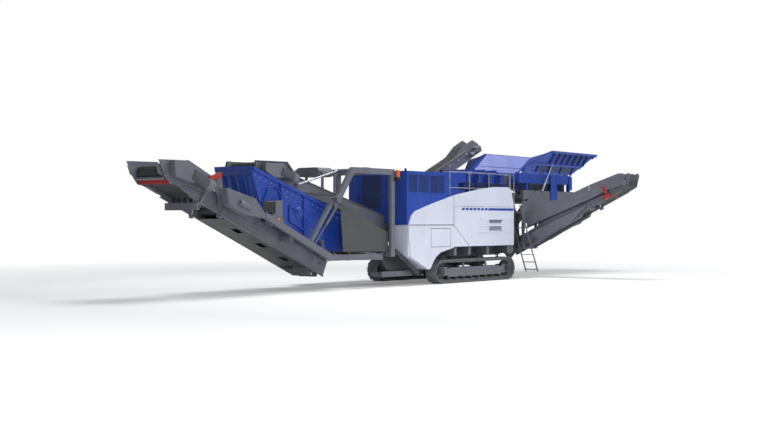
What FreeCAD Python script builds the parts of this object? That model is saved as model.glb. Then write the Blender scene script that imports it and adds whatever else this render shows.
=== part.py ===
import FreeCAD, Part
import math
import os

# Tracked mobile impact crusher with a secondary screen unit, in millimetres.
# Working frame: origin on the ground under the middle of the tracks, +X towards the
# feed hopper, -Y the service side with the walkway, +Z up.
# At the end everything moves by the same two lengths, so that the origin of the
# stored part lies on the ground in the middle of its own box.

V = FreeCAD.Vector

# Driving dimensions
seat = 0.3               # running or seating gap between two pieces
plate = 12.0             # ordinary steel plate

# Undercarriage
track_length = 4958.0
track_height = 845.0
track_over = 3114.0      # over both tracks
shoe_width = 481.0
shoe_count = 52
grouser_high = 30.0
shoe_thick = 20.0
link_high = 80.0
link_width = 150.0
roller_count = 8
roller_radius = 92.0
girder_width = 300.0

# Main frame
beam_in = 700.0          # inner face of a main beam from the middle plane
beam_out = 840.0
beam_low = 900.0
beam_high = 1300.0
frame_front = -4900.0
kink_x = 2500.0          # where the frame rises towards the feeder
neck_x = 4850.0
neck_low = 2880.0
neck_high = 3140.0
frame_rear = 7300.0

# Power pack
pack_front = -4100.0
pack_rear = -1680.0
pack_near = -1550.0
pack_far = 1000.0
pack_low = 2400.0         # floor above the main conveyor
pack_skirt = 2040.0       # floor beside it, on the near side
pack_roof = 3840.0
pack_wall = 40.0
band_low = 3110.0        # cooling openings in the near side
band_high = 3740.0
skin = 40.0              # thickness of the white panels
tank_floor = 960.0
tank_keel = 520.0

# Crusher
crusher_half = 850.0
crusher_front = -300.0
crusher_rear = 2700.0
crusher_top = 4030.0

# Walkway, railing, ladder
deck_low = 2740.0
deck_high = 2780.0
deck_near = -1500.0
deck_inner = -880.0
deck_front = -1620.0
deck_rear = 3080.0
rail_radius = 21.0
rail_top = 3900.0
rail_mid = 3340.0
ladder_near = -1750.0
ladder_far = -1200.0
ladder_top = (2520.0, 2780.0)
ladder_foot = (3800.0, 220.0)
ladder_split = 1060.0    # height of the hinge of the lower steps
stringer = 70.0
stringer_thick = 20.0

# Feeder and hopper
feeder_half = 660.0
feeder_front = 2760.0
feeder_rear = 6900.0
feeder_low = 3420.0
feeder_high = 3930.0
hopper_half = 1300.0     # half width at the hinge line of the side walls
hopper_low = 4040.0      # height of that hinge line
hopper_lip = 4940.0
lip_half = 1612.0
hopper_front = 3100.0
hopper_rear = 7070.0
lip_front = 5085.0
lip_rear = 8689.0
hopper_sheet = 16.0
hinge_radius = 30.0

# Conveyors: lengths along the belt from the tail drum's centre to the head drum's
main_tail = (1000.0, 0.0, 720.0)
main_head = (-9870.0, 0.0, 3745.0)
main_half = 650.0
fines_tail = (-7350.0, 0.0, 830.0)
fines_head = (-13400.0, 0.0, 3510.0)
fines_half = 673.0
fines_fold = 4450.0      # distance of the fold from the tail drum
return_tail = (-5600.0, 1650.0, 800.0)
return_head = (3450.0, 1150.0, 5020.0)
return_half = 300.0
side_tail = (4000.0, -520.0, 1120.0)
side_head = (4000.0, -5480.0, 3560.0)
side_half = 400.0
side_fold = 3960.0
belt_thick = 14.0
drum_radius = 170.0

# Screen unit
screen_half = 785.0
screen_plate = 16.0
screen_front = -10510.0
screen_rear = -6350.0
screen_top = 3788.0      # at the front
screen_fall = 0.345      # drop of its top edge for each unit of length
support_y = 1150.0


def face_of(points):
    loop = [V(*p) for p in points]
    return Part.Face(Part.makePolygon(loop + loop[:1]))


def prism_xz(points, y0, y1):
    return face_of([(x, y0, z) for x, z in points]).extrude(V(0, y1 - y0, 0))


def prism_yz(points, x0, x1):
    return face_of([(x0, y, z) for y, z in points]).extrude(V(x1 - x0, 0, 0))


def prism_xy(points, z0, z1):
    return face_of([(x, y, z0) for x, y in points]).extrude(V(0, 0, z1 - z0))


def block(x0, x1, y0, y1, z0, z1):
    return Part.makeBox(x1 - x0, y1 - y0, z1 - z0, V(x0, y0, z0))


def rod(p, q, radius):
    a, b = V(*p), V(*q)
    return Part.makeCylinder(radius, (b - a).Length, a, b - a)


def roller(p, q, radius, sides=12):
    # round bar or small drum as a prism of that many sides, for what repeats often
    a, b = V(*p), V(*q)
    along = (b - a).normalize()
    across = along.cross(V(0, 0, 1)) if abs(along.z) < 0.9 else along.cross(V(1, 0, 0))
    across.normalize()
    third = along.cross(across)
    points = []
    for number in range(sides):
        turn = 2 * math.pi * (number + 0.5) / sides
        points.append(a + across * (radius * math.cos(turn)) + third * (radius * math.sin(turn)))
    return Part.Face(Part.makePolygon(points + points[:1])).extrude(b - a)


def bar_xz(p, q, deep, y0, y1):
    # straight bar between two points of an upright plane, as deep as told
    dx, dz = q[0] - p[0], q[1] - p[1]
    size = math.hypot(dx, dz)
    nx, nz = -dz / size * deep / 2, dx / size * deep / 2
    return prism_xz([(p[0] + nx, p[1] + nz), (p[0] - nx, p[1] - nz),
                     (q[0] - nx, q[1] - nz), (q[0] + nx, q[1] + nz)], y0, y1)


def bar_yz(p, q, deep, x0, x1):
    dy, dz = q[0] - p[0], q[1] - p[1]
    size = math.hypot(dy, dz)
    ny, nz = -dz / size * deep / 2, dy / size * deep / 2
    return prism_yz([(p[0] + ny, p[1] + nz), (p[0] - ny, p[1] - nz),
                     (q[0] - ny, q[1] - nz), (q[0] + ny, q[1] + nz)], x0, x1)


def joined(shapes):
    whole = shapes[0].multiFuse(shapes[1:]) if len(shapes) > 1 else shapes[0]
    return whole.removeSplitter()


def cut(shape, tools):
    return shape.cut(tools) if tools else shape


def mirrored(shape):
    return shape.mirror(V(0, 0, 0), V(0, 1, 0))


nodes = {}


def keep(name, shape):
    nodes[name] = shape


# Tracks

track_middle = (track_over - shoe_width) / 2
axle_z = track_height / 2
axle_x = track_length / 2 - axle_z
tip_radius = track_height / 2
face_radius = tip_radius - grouser_high
back_radius = face_radius - shoe_thick
link_radius = back_radius - link_high


def loop_length(radius):
    return 4 * axle_x + 2 * math.pi * radius


def loop_point(share, radius):
    # a point of the track's loop at this share of its length, at this offset radius
    straight = 2 * axle_x
    arc = math.pi * face_radius
    run = share * loop_length(face_radius)
    if run < straight:
        return -axle_x + run, axle_z + radius
    run -= straight
    if run < arc:
        turn = run / face_radius
        return axle_x + radius * math.sin(turn), axle_z + radius * math.cos(turn)
    run -= arc
    if run < straight:
        return axle_x - run, axle_z - radius
    turn = (run - straight) / face_radius
    return -axle_x - radius * math.sin(turn), axle_z - radius * math.cos(turn)


# one shoe's outline: share of the pitch, offset from the shoe's face
shoe_outline = [
    (0.00, -12.0),
    (0.04, 0.0),
    (0.10, grouser_high),
    (0.20, grouser_high),
    (0.26, 0.0),
    (0.96, 0.0),
]


def stadium(radius, y0, y1):
    left, right = V(-axle_x, y0, axle_z), V(axle_x, y0, axle_z)
    up = V(0, 0, radius)
    out = V(radius, 0, 0)
    edges = [Part.LineSegment(left + up, right + up).toShape(),
             Part.Arc(right + up, right + out, right - up).toShape(),
             Part.LineSegment(right - up, left - up).toShape(),
             Part.Arc(left - up, left - out, left + up).toShape()]
    return Part.Face(Part.Wire(edges)).extrude(V(0, y1 - y0, 0))


def track_loop():
    near, far = -track_middle - shoe_width / 2, -track_middle + shoe_width / 2
    points = [loop_point((number + share) / shoe_count, face_radius + offset)
              for number in range(shoe_count) for share, offset in shoe_outline]
    shoes = prism_xz(points, near, far).cut(stadium(back_radius, near - 1, far + 1))
    link_near, link_far = -track_middle - link_width / 2, -track_middle + link_width / 2
    links = stadium(back_radius + 2, link_near, link_far)
    links = links.cut(stadium(link_radius, link_near - 1, link_far + 1))
    return joined([shoes, links])


def running_gear():
    mid = -track_middle
    pieces = []
    wheel = link_radius - seat
    for x in (-axle_x, axle_x):
        disc = rod((x, mid - 45, axle_z), (x, mid + 45, axle_z), wheel)
        hub = rod((x, mid - 190, axle_z), (x, mid + 149, axle_z), 120)
        pieces.append(joined([disc, hub]))
    low = axle_z - link_radius + roller_radius + seat
    span = 2 * axle_x - 900
    for number in range(roller_count):
        x = -span / 2 + number * span / (roller_count - 1)
        pieces.append(roller((x, mid - 130, low), (x, mid + 130, low), roller_radius, 16))
    high = axle_z + link_radius - 60 - seat
    for x in (-700.0, 700.0):
        pieces.append(roller((x, mid - 90, high), (x, mid + 90, high), 60))
    return Part.makeCompound(pieces)


def track_frame():
    mid = -track_middle
    near, far = mid - girder_width / 2, mid + girder_width / 2
    low = axle_z - link_radius + 2 * roller_radius + 20
    high = axle_z + 120
    reach = axle_x - link_radius - 25
    body = [prism_xz([(-reach, low + 40), (-reach + 200, low), (reach - 200, low), (reach, low + 40),
                      (reach, high - 60), (reach - 260, high), (-reach + 260, high), (-reach, high - 60)],
                     near, far)]
    for y0 in (near, far - plate):
        body.append(prism_xz([(-reach + 20, low + 30), (-reach + 80, low - 110),
                              (reach - 80, low - 110), (reach - 20, low + 30)], y0, y0 + plate))
    for x in (-700.0, 700.0):
        top = axle_z + link_radius - 60
        for y0 in (mid - 120, mid + 90 + seat):
            body.append(block(x - 50, x + 50, y0, y0 + 30 - seat, high - 10, top + 30))
    for side in (-1, 1):
        x0, x1 = sorted((side * (reach - 30), side * (axle_x + 150)))
        for y0 in (near, far - 30):
            body.append(block(x0, x1, y0, y0 + 30, axle_z - 150, axle_z + 150))
    for x in (-1150.0, 1150.0):
        body.append(block(x - 170, x + 170, far - 10, -beam_in, high - 240, high - 10))
        body.append(block(x - 170, x + 170, -beam_out - 60, -beam_in, high - 20, beam_low))
    holes = [rod((x, near - 50, axle_z), (x, far + 10, axle_z), 120 + seat) for x in (-axle_x, axle_x)]
    motor = rod((-axle_x, far, axle_z), (-axle_x, far + 180, axle_z), 150)
    return joined([cut(joined(body), holes), motor])


keep("track_near", track_loop())
keep("track_far", mirrored(nodes["track_near"]))
keep("running_gear_near", running_gear())
keep("running_gear_far", mirrored(nodes["running_gear_near"]))
keep("track_frame_near", track_frame())
keep("track_frame_far", mirrored(nodes["track_frame_near"]))


# Main frame

main_rise = (main_head[2] - main_tail[2]) / (main_tail[0] - main_head[0])


def main_low(x):
    # lower edge of the main conveyor's sides
    return main_tail[2] + (main_tail[0] - x) * main_rise - 220 * math.sqrt(1 + main_rise ** 2)


def main_frame():
    pieces = []
    side = [(frame_front, beam_low), (kink_x, beam_low), (neck_x, neck_low), (frame_rear, neck_low),
            (frame_rear, neck_high), (neck_x - 130, neck_high), (kink_x - 190, beam_high),
            (frame_front, beam_high)]
    for y0 in (-beam_out, beam_in):
        pieces.append(prism_xz(side, y0, y0 + beam_out - beam_in))
    for x in (frame_front + 20, -2600.0, 2200.0):
        pieces.append(block(x, x + 160, -beam_in - 10, beam_in + 10, beam_low + 120, beam_high - 60))
    for x in (5000.0, 7000.0):
        pieces.append(block(x, x + 160, -1300, 1300, neck_low + 40, neck_high - 20))
    # outer rails beside the feeder, and the brackets that carry the side panels
    for side_sign in (-1, 1):
        y0, y1 = sorted((side_sign * 1160, side_sign * 1300))
        pieces.append(prism_xz([(rail_front, neck_high - 120), (7500, neck_high - 120), (7820, neck_high + 40),
                                (7820, neck_high + 140), (7560, neck_high + 220), (rail_front, neck_high + 220)],
                               y0, y1))
    for x in (-1320.0, -450.0, 700.0, 2080.0):
        pieces.append(block(x, x + 140, -1480, -beam_out + 10, beam_low + 60, beam_high - 60))
    # seats of the main conveyor: posts on a cross member and pads at the tail
    for y0 in (-640, 560):
        pieces.append(prism_xz([(-2580, beam_high - 70), (-2480, beam_high - 70), (-2480, main_low(-2480) - seat),
                                (-2580, main_low(-2580) - seat)], y0, y0 + 80))
    for side_sign in (-1, 1):
        pieces.append(block(300, 500, *sorted((side_sign * (main_half + seat), side_sign * (beam_in + 10))),
                            1000, 1120))
    # seats of the portal
    for y0, y1 in ((portal_near - portal_wide, -beam_out + 10), (beam_out - 10, portal_far + portal_wide)):
        pieces.append(block(portal_foot - 110, portal_foot + 110, y0, y1, 1000, portal_base))
    # lashing eyes
    for x in lash_x:
        for side_sign in (-1, 1):
            y0, y1 = sorted((side_sign * beam_out, side_sign * (beam_out + lash_thick)))
            ear = prism_xz([(x - 90, beam_low + 120), (x - 70, beam_low - 90), (x + 70, beam_low - 90),
                            (x + 90, beam_low + 120)], y0, y1)
            hole = rod((x, y0 - 1, beam_low - 30), (x, y1 + 1, beam_low - 30), lash_radius)
            pieces.append(ear.cut(hole))
    return joined(pieces)


rail_front = 3480.0
portal_near = -1290.0
portal_far = 940.0
portal_wide = 120.0
portal_foot = -4650.0
portal_base = 1150.0
lash_x = (-4300.0, 2300.0)
lash_thick = 30.0
lash_radius = 35.0

keep("main_frame", main_frame())


# Power pack: a hollow housing with cooling openings, the engine as one block

def pack_body(inset):
    side = [(pack_front + inset, pack_skirt + inset), (pack_front + inset, pack_roof - inset),
            (pack_rear - 190 - inset, pack_roof - inset), (pack_rear - inset, band_low + 30),
            (pack_rear - inset, pack_skirt + inset)]
    section = [(pack_near + inset, pack_skirt + inset), (-beam_in - inset, pack_skirt + inset),
               (-beam_in - inset, pack_low + inset), (pack_far - inset, pack_low + inset),
               (pack_far - inset, pack_roof - inset), (pack_near + inset, pack_roof - inset)]
    return prism_xz(side, pack_near, pack_far).common(prism_yz(section, pack_front, pack_rear))


# openings of the cooling band: start, end along X
bays = [
    (-4020.0, -3510.0),
    (-3450.0, -2900.0),
    (-2840.0, -1990.0),
]
slat_pitch = 90.0
front_grille_half = 420.0
grille_low = 2600.0
grille_high = 3700.0


def power_pack():
    shell = pack_body(0).cut(pack_body(pack_wall))
    tools = [block(x0, x1, pack_near - 1, pack_near + pack_wall + 1, band_low, band_high) for x0, x1 in bays]
    tools.append(block(pack_front - 1, pack_front + pack_wall + 1, -front_grille_half, front_grille_half,
                       grille_low, grille_high))
    tools.append(block(-3300, -2300, -700, 300, pack_roof - pack_wall - 1, pack_roof + 1))
    shell = shell.cut(tools)
    feet = []
    for x in (-4000.0, -2100.0):
        feet.append(block(x, x + 200, -beam_out, -beam_in, beam_high, pack_skirt))
        feet.append(block(x, x + 200, beam_in, beam_out, beam_high, pack_low))
    return joined([shell] + feet)


def cooling_grilles():
    pieces = []
    for x0, x1 in bays:
        slats = int((band_high - band_low) / slat_pitch)
        for number in range(slats):
            z = band_low + 30 + number * slat_pitch
            pieces.append(prism_yz([(pack_near + 6, z), (pack_near + 34, z + 40),
                                    (pack_near + 34, z + 48), (pack_near + 6, z + 8)],
                                   x0 + seat, x1 - seat))
        middle = (x0 + x1) / 2
        pieces.append(block(middle - 10, middle + 10, pack_near + 8, pack_near + 34,
                            band_low + seat, band_high - seat))
    front = []
    for number in range(11):
        z = grille_low + 20 + number * 98
        front.append(prism_xz([(pack_front + 6, z), (pack_front + 34, z + 40),
                               (pack_front + 34, z + 48), (pack_front + 6, z + 8)],
                              -front_grille_half + seat, front_grille_half - seat))
    front.append(block(pack_front + 8, pack_front + 34, -12, 12, grille_low + seat, grille_high - seat))
    roof = [block(-3300 + seat, -2300 - seat, y, y + 12, pack_roof - pack_wall, pack_roof - 6)
            for y in range(-660, 300, 96)]
    roof.append(block(-2812, -2788, -700 + seat, 300 - seat, pack_roof - 30, pack_roof - 12))
    groups = []
    per_bay = int((band_high - band_low) / slat_pitch) + 1
    for number in range(len(bays)):
        groups.append(joined(pieces[number * per_bay:(number + 1) * per_bay]))
    return Part.makeCompound(groups + [joined(front), joined(roof)])


keep("power_pack_housing", power_pack())
keep("cooling_grilles", cooling_grilles())
engine_low = pack_low + pack_wall + seat
engine_high = pack_roof - pack_wall - 410    # room for the air duct under the roof
keep("engine_block", block(-3700, -2000, -600, 600, engine_low, engine_high))


# White panels of the near side

panel_out = pack_near - skin
panel_split_x = -1500.0
flap_low = 1275.0
flap_high = 2690.0
flap_front = -1495.0
flap_rear = 2345.0
gap = 8.0                # visible joint between two panels
hatch = (-2800.0, -1670.0, 1280.0, 1920.0)
bonnet_edge = [(-3910, 2330), (-3690, 2500), (-2710, 2770), (-1540, 3050), (-1230, 3110), (180, 3330),
               (950, 3410), (1940, 3430), (2160, 3350), (2350, 2720)]
skirt_edge = [(-2260, 1090), (-2490, 970), (-2660, 810), (-2830, 570), (-2930, tank_keel),
              (-3940, tank_floor)]


def side_panels():
    upper = [(-4040, 2040)] + bonnet_edge + [(2350, flap_high + gap), (flap_front - gap, flap_high + gap),
                                              (flap_front - gap, 2040)]
    lower = [(-4050, 2030), (flap_front - gap, 2030), (flap_front - gap, 1240)] + skirt_edge + [(-4050, 1840)]
    x0, x1, z0, z1 = hatch
    opening = block(x0 - gap, x1 + gap, panel_out - 1, pack_near + 1, z0 - gap, z1 + gap)
    rim = block(x0 - gap, x1 + gap, pack_near - 12, pack_near - seat, z0 - gap, z1 + gap)
    low_panel = prism_xz(lower, panel_out, pack_near - seat).cut(opening)
    backing = rim.cut(block(x0 + 60, x1 - 60, panel_out, pack_near + 1, z0 + 60, z1 - 60))
    return prism_xz(upper, panel_out, pack_near - seat), joined([low_panel, backing])


barrel = 12.0            # radius of the panels' hinge barrels
barrel_long = 70.0
flap_hinges = (-1300.0, 400.0, 2100.0)
hatch_hinges = (1400.0, 1740.0)


def flap_barrels(moving):
    # barrels on the axis just outside the panel, with a leaf on the panel's face
    pieces = []
    y = panel_out - barrel
    for x in flap_hinges:
        if moving:
            pieces.append(rod((x, y, flap_high), (x + barrel_long, y, flap_high), barrel))
            pieces.append(block(x, x + barrel_long, y, panel_out, flap_high - 50, flap_high))
            continue
        for x0 in (x - 45 - seat, x + barrel_long + seat):
            pieces.append(rod((x0, y, flap_high), (x0 + 45, y, flap_high), barrel - seat))
            pieces.append(block(x0, x0 + 45, y, panel_out, flap_high, flap_high + 50))
    return pieces


def hatch_barrels(moving):
    pieces = []
    x, y = hatch[0], panel_out - barrel
    for z in hatch_hinges:
        if moving:
            pieces.append(rod((x, y, z), (x, y, z + barrel_long), barrel))
            pieces.append(block(x, x + 50, y, panel_out, z, z + barrel_long))
            continue
        for z0 in (z - 45 - seat, z + barrel_long + seat):
            pieces.append(rod((x, y, z0), (x, y, z0 + 45), barrel - seat))
            pieces.append(block(x - 50, x, y, panel_out, z0, z0 + 45))
    return pieces


bonnet, apron = side_panels()
keep("bonnet_panel", joined([bonnet] + flap_barrels(False)))
keep("apron_panel", joined([apron] + hatch_barrels(False)))
keep("hatch_door", joined([block(hatch[0], hatch[1], panel_out, pack_near - 12 - seat, hatch[2], hatch[3])]
                          + hatch_barrels(True)))


def service_flap():
    sheet = block(flap_front, flap_rear, panel_out, pack_near - seat, flap_low, flap_high)
    slots = []
    for z in (2150, 1960, 1770):
        for number in range(9):
            x = 760 + number * 92
            slots.append(block(x, x + 60, panel_out - 1, pack_near + 1, z, z + 60))
    sheet = sheet.cut(slots)
    ribs = [prism_yz([(panel_out, z), (panel_out - 22, z + 14), (panel_out, z + 46)], -50, flap_rear - 40)
            for z in (2270, 1990, 1720)]
    return joined([sheet] + ribs + flap_barrels(True))


keep("service_flap", service_flap())


def panel_posts():
    # posts behind the near side panels; they also carry the walkway
    pieces = []
    for x in (-1320.0, -450.0, 700.0, 2080.0):
        pieces.append(block(x, x + 120, -1480, -1390, beam_high - 60, deck_low))
        pieces.append(block(x, x + 120, pack_near, -1480, flap_high - 40, deck_low))
    pieces.append(block(-1320, 2200, -1480, -1440, flap_high - 60, deck_low))
    for x in (-1320.0, 2080.0):
        pieces.append(block(x, x + 120, -1400, deck_inner, deck_low - 120, deck_low))
    return joined(pieces)


keep("panel_posts", panel_posts())


# Tanks below the power pack on the near side, with the chamfered floor
def tank():
    edge = [(-4050, pack_skirt - seat), (-2560, pack_skirt - seat), (-2560, 1000), (-2700, 760),
            (-2830, 580), (-2930, tank_keel + 10), (-3930, tank_floor), (-4050, 1000)]
    return prism_xz(edge, pack_near, -beam_out - 10)


keep("tank", tank())


# Crusher

def crusher():
    edge = [(crusher_front, beam_high), (crusher_front, 2450), (250, 3300), (620, 3960), (760, crusher_top),
            (2380, crusher_top), (2640, 3560), (crusher_rear, 3400), (crusher_rear, 2050), (2310, beam_high)]
    body = prism_xz(edge, -crusher_half, crusher_half)
    ribs = []
    for x in (250.0, 950.0, 1650.0, 2320.0):
        for y0 in (-crusher_half - 20, crusher_half):
            ribs.append(block(x, x + 30, y0, y0 + 20, 1420, 2330 if x < 300 else 3380))
    for z in (1700.0, 2450.0):
        for y0 in (-crusher_half - 20, crusher_half):
            ribs.append(block(-250, 2500, y0, y0 + 20, z, z + 30))
    for x in (820.0, 1500.0, 2250.0):
        ribs.append(block(x, x + 40, -crusher_half, crusher_half, crusher_top, crusher_top + 60))
    return joined([body] + ribs)


keep("crusher_housing", crusher())


def crusher_drive():
    # guard over the rotor's pulley and belts on the far side
    y0, y1 = crusher_half + 30, crusher_half + 210
    drum = rod((1150, y0, 2100), (1150, y1, 2100), 520)
    arm = prism_xz([(1150, 2620), (-1100, 2150), (-1250, 1850), (-1100, 1580), (1150, 1580)], y0, y1)
    mount = block(-1180, -900, y0, y1, beam_low + 60, 1700)
    boss = rod((1150, crusher_half, 2100), (1150, y0 + 5, 2100), 160)
    foot = block(-1180, -900, beam_in, y1, beam_low + 60, beam_high + 60)
    return joined([drum, arm, mount, boss, foot.cut(block(-1300, 0, beam_in - 5, beam_out, 0, beam_high))])


keep("crusher_drive", crusher_drive())


# Walkway, railing and ladder

deck_cut = ladder_top[0] - stringer / 2 - seat


def walkway():
    # the deck ends at the ladder, with a narrow strip beside it towards the hopper
    deck = block(deck_front, deck_cut, deck_near, deck_inner, deck_low, deck_high)
    strip = block(deck_cut - 5, deck_rear, ladder_far + 10, deck_inner, deck_low, deck_high)
    toe = block(deck_front, deck_cut, deck_near, deck_near + 8, deck_high - 5, deck_high + 100)
    leg = block(deck_rear - 140, deck_rear, deck_inner - 60, deck_inner, 1650, deck_low + 5)
    foot = block(deck_rear - 140, deck_rear, deck_inner - 60, -beam_out, 1650, 1750)
    return joined([deck, strip, toe, leg, foot])


post_x = (-1540.0, -330.0, 900.0, 2320.0)


def railing():
    # tubes as pairs of ends: the near run, its return at the front, the strip's run at the rear
    y, y2 = deck_near + 60, deck_inner - 60
    runs = [((x, y, deck_high), (x, y, rail_top)) for x in post_x]
    runs += [((post_x[0], y2, deck_high), (post_x[0], y2, rail_top))]
    for z in (rail_mid, rail_top):
        runs += [((post_x[0], y, z), (post_x[-1], y, z)), ((post_x[0], y, z), (post_x[0], y2, z))]
    near_run = joined([rod(p, q, rail_radius) for p, q in runs])
    x2 = deck_rear - 40
    y3 = ladder_far + 60
    runs = [((x2, y3, deck_high), (x2, y3, rail_top)), ((x2, y2, deck_high), (x2, y2, rail_top))]
    runs += [((x2, y3, z), (x2, y2, z)) for z in (rail_mid, rail_top)]
    return Part.makeCompound([near_run, joined([rod(p, q, rail_radius) for p, q in runs])])


ladder_slope = (ladder_top[1] - ladder_foot[1]) / (ladder_top[0] - ladder_foot[0])


def ladder_x(z):
    return ladder_foot[0] + (z - ladder_foot[1]) / ladder_slope


def ladder_part(z0, z1, step_from, steps, step_rise):
    pieces = []
    for y0 in (ladder_near, ladder_far - stringer_thick):
        pieces.append(prism_xz([(ladder_x(z0) - stringer / 2, z0), (ladder_x(z0) + stringer / 2, z0),
                                (ladder_x(z1) + stringer / 2, z1), (ladder_x(z1) - stringer / 2, z1)],
                               y0, y0 + stringer_thick))
    for number in range(steps):
        z = step_from + number * step_rise
        x = ladder_x(z)
        pieces.append(block(x - 60, x + 40, ladder_near + 5, ladder_far - 5, z, z + 30))
    return joined(pieces)


keep("walkway", walkway())
keep("railing", railing())


ladder_pin = (ladder_x(ladder_split) - stringer / 2 - 12, ladder_split)


def upper_ladder():
    base = ladder_part(ladder_split, deck_high, 1330, 5, 285)
    link = block(deck_cut - 60, ladder_top[0], deck_near + 5, ladder_far - 5, deck_low - 60, deck_low - seat)
    x, z = ladder_pin
    base = base.cut(rod((x, ladder_near - 1, z), (x, ladder_far + 1, z), 34))
    ears = []
    for wall, sign in ((ladder_near, -1), (ladder_far, 1)):
        y0, y1 = sorted((wall + sign * seat, wall + sign * 12))
        ears.append(prism_xz([(x - 22, z - 22), (x + 22, z - 22), (x + 40, z + 130), (x - 40, z + 130)], y0, y1)
                    .cut(rod((x, y0 - 1, z), (x, y1 + 1, z), 12 + seat)))
        y0, y1 = sorted((wall, wall + sign * 12))
        ears.append(prism_xz([(x - 37, z + 100), (x + 36, z + 100), (x + 40, z + 130), (x - 40, z + 130)], y0, y1))
    return joined([base, link] + ears)


def lower_steps():
    base = ladder_part(ladder_foot[1], ladder_split - 12, 300, 3, 285)
    x, z = ladder_pin
    pieces = [base]
    for y0, y1, tip in ((ladder_near, ladder_near + stringer_thick, ladder_near - 12),
                        (ladder_far - stringer_thick, ladder_far, ladder_far + 12)):
        pieces.append(prism_xz([(x - 18, z - 60), (x + 60, z - 60), (x + 40, z - 14), (x + 18, z - 10),
                                (x + 18, z + 14), (x - 18, z + 14)], y0, y1))
        pieces.append(rod((x, min(y0, tip), z), (x, max(y1, tip), z), 12))
    return joined(pieces)


keep("ladder_upper", upper_ladder().cut(lower_steps()))
keep("ladder_lower", lower_steps())


# Feeder and hopper

def feeder():
    wall = 20.0
    outer = prism_yz([(-feeder_half, feeder_high), (-feeder_half, feeder_low), (feeder_half, feeder_low),
                      (feeder_half, feeder_high)], feeder_front, feeder_rear)
    inner = prism_yz([(-feeder_half + wall, feeder_high + 1), (-feeder_half + wall, feeder_low + wall),
                      (feeder_half - wall, feeder_low + wall), (feeder_half - wall, feeder_high + 1)],
                     feeder_front - 1, feeder_rear - wall)
    trough = outer.cut(inner)
    pieces = [trough]
    for x in range(3200, 6900, 600):
        for y0 in (-feeder_half - 50, feeder_half):
            pieces.append(block(x, x + 24, y0, y0 + 50, feeder_low + 20, feeder_high - 20))
    # exciter below the rear and spring feet on the neck
    pieces.append(rod((5900, -420, feeder_low - 140), (5900, 420, feeder_low - 140), 150))
    middle = (beam_in + beam_out) / 2
    for x in (5300.0, 6600.0):
        for sign in (-1, 1):
            y0, y1 = sorted((sign * (feeder_half - 10), sign * (middle + 60)))
            pieces.append(block(x - 80, x + 80, y0, y1, feeder_low, feeder_low + 30))
            pieces.append(rod((x, sign * middle, neck_high + seat), (x, sign * middle, feeder_low + 5), 60))
    return joined(pieces)


keep("feeder", feeder())


def hopper_frame():
    low, high = 3640.0, hopper_low - hinge_radius - 6
    outer = block(hopper_front + 20, hopper_rear - 30, -hopper_half - 22, hopper_half + 22, low, high)
    inner = prism_yz([(-hopper_half + 60, high + 1), (-feeder_half - 60, low - 1), (feeder_half + 60, low - 1),
                      (hopper_half - 60, high + 1)], hopper_front - 1, hopper_rear - 140)
    top = outer.cut(inner)
    pieces = [top]
    for x in (3700.0, 5480.0, 6900.0):
        for y0 in (-hopper_half + 10, hopper_half - 130):
            pieces.append(block(x, x + 120, y0, y0 + 120, neck_high + 220, low + 5))
    for x in (5480.0, 6900.0):
        for side_sign in (-1, 1):
            y0, y1 = sorted((side_sign * (hopper_half - 10), side_sign * (hopper_half + 50)))
            pieces.append(prism_yz([(y0, 3420), (y1, 3500), (y1, 3900), (y0, 3960)], x - 60, x + 180))
    return joined(pieces)


keep("hopper_frame", hopper_frame())

# one hopper wall is modelled flat and then leaned out about its hinge line
side_lean = math.degrees(math.atan2(lip_half - hopper_half, hopper_lip - hopper_low))
side_high = math.hypot(lip_half - hopper_half, hopper_lip - hopper_low)
wall_foot = 40.0
rear_gap = 40.0
rear_foot = 54.0


def leaned_wall():
    # upright plane y = 0, outer side towards -y, heights counted from the hinge line
    def up(x, z):
        return (x, z)
    edge = [up(hopper_front, wall_foot), up(hopper_rear - rear_gap + 60, wall_foot),
            up(lip_rear - rear_gap, side_high), up(lip_front, side_high)]
    pieces = [prism_xz(edge, 0, hopper_sheet)]
    beam = 330.0
    rise = (lip_front - hopper_front) / (side_high - wall_foot)
    rear_rise = (lip_rear - hopper_rear - 60) / (side_high - wall_foot)
    pieces.append(prism_xz([(hopper_front + (beam - wall_foot) * rise + 60, beam),
                            (hopper_rear + (beam - wall_foot) * rear_rise - 20, beam),
                            (hopper_rear + (beam + 60) * rear_rise - 20, beam + 90),
                            (hopper_front + (beam + 60) * rise + 60, beam + 90)], -70, 0))
    pieces.append(prism_xz([(lip_front, side_high - 90), (lip_rear - rear_gap - 160, side_high - 90),
                            (lip_rear - rear_gap, side_high), (lip_front, side_high)], -70, 0))
    ribs = 8
    for number in range(ribs):
        x = lip_front + 40 + number * (lip_rear - lip_front - 560) / (ribs - 1)
        pieces.append(prism_xz([(x, beam + 80), (x + 26, beam + 80), (x + 226, side_high - 60),
                                (x + 200, side_high - 60)], -70, 0))
    for number in range(5):
        x = hopper_front + 300 + number * 900
        pieces.append(prism_xz([(x, wall_foot), (x + 26, wall_foot), (x + 80, beam + 10), (x + 54, beam + 10)],
                               -50, 0))
    pieces = [joined(pieces).common(prism_xz(edge, -80, hopper_sheet + 1))]
    for x in hinge_x:
        pieces.append(rod((x, 0, 0), (x + 160, 0, 0), hinge_radius - 6))
        pieces.append(block(x, x + 160, -12, 12, 0, wall_foot + 10))
    return joined(pieces)


hinge_x = (3500.0, 4700.0, 6500.0)


def near_wall():
    wall = leaned_wall()
    wall.rotate(V(0, 0, 0), V(1, 0, 0), side_lean)
    wall.translate(V(0, -hopper_half, hopper_low))
    return wall


keep("hopper_wall_near", near_wall())
keep("hopper_wall_far", mirrored(nodes["hopper_wall_near"]))

rear_fall = math.atan2(hopper_lip - hopper_low, lip_rear - hopper_rear)
rear_long = math.hypot(hopper_lip - hopper_low, lip_rear - hopper_rear)


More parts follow.
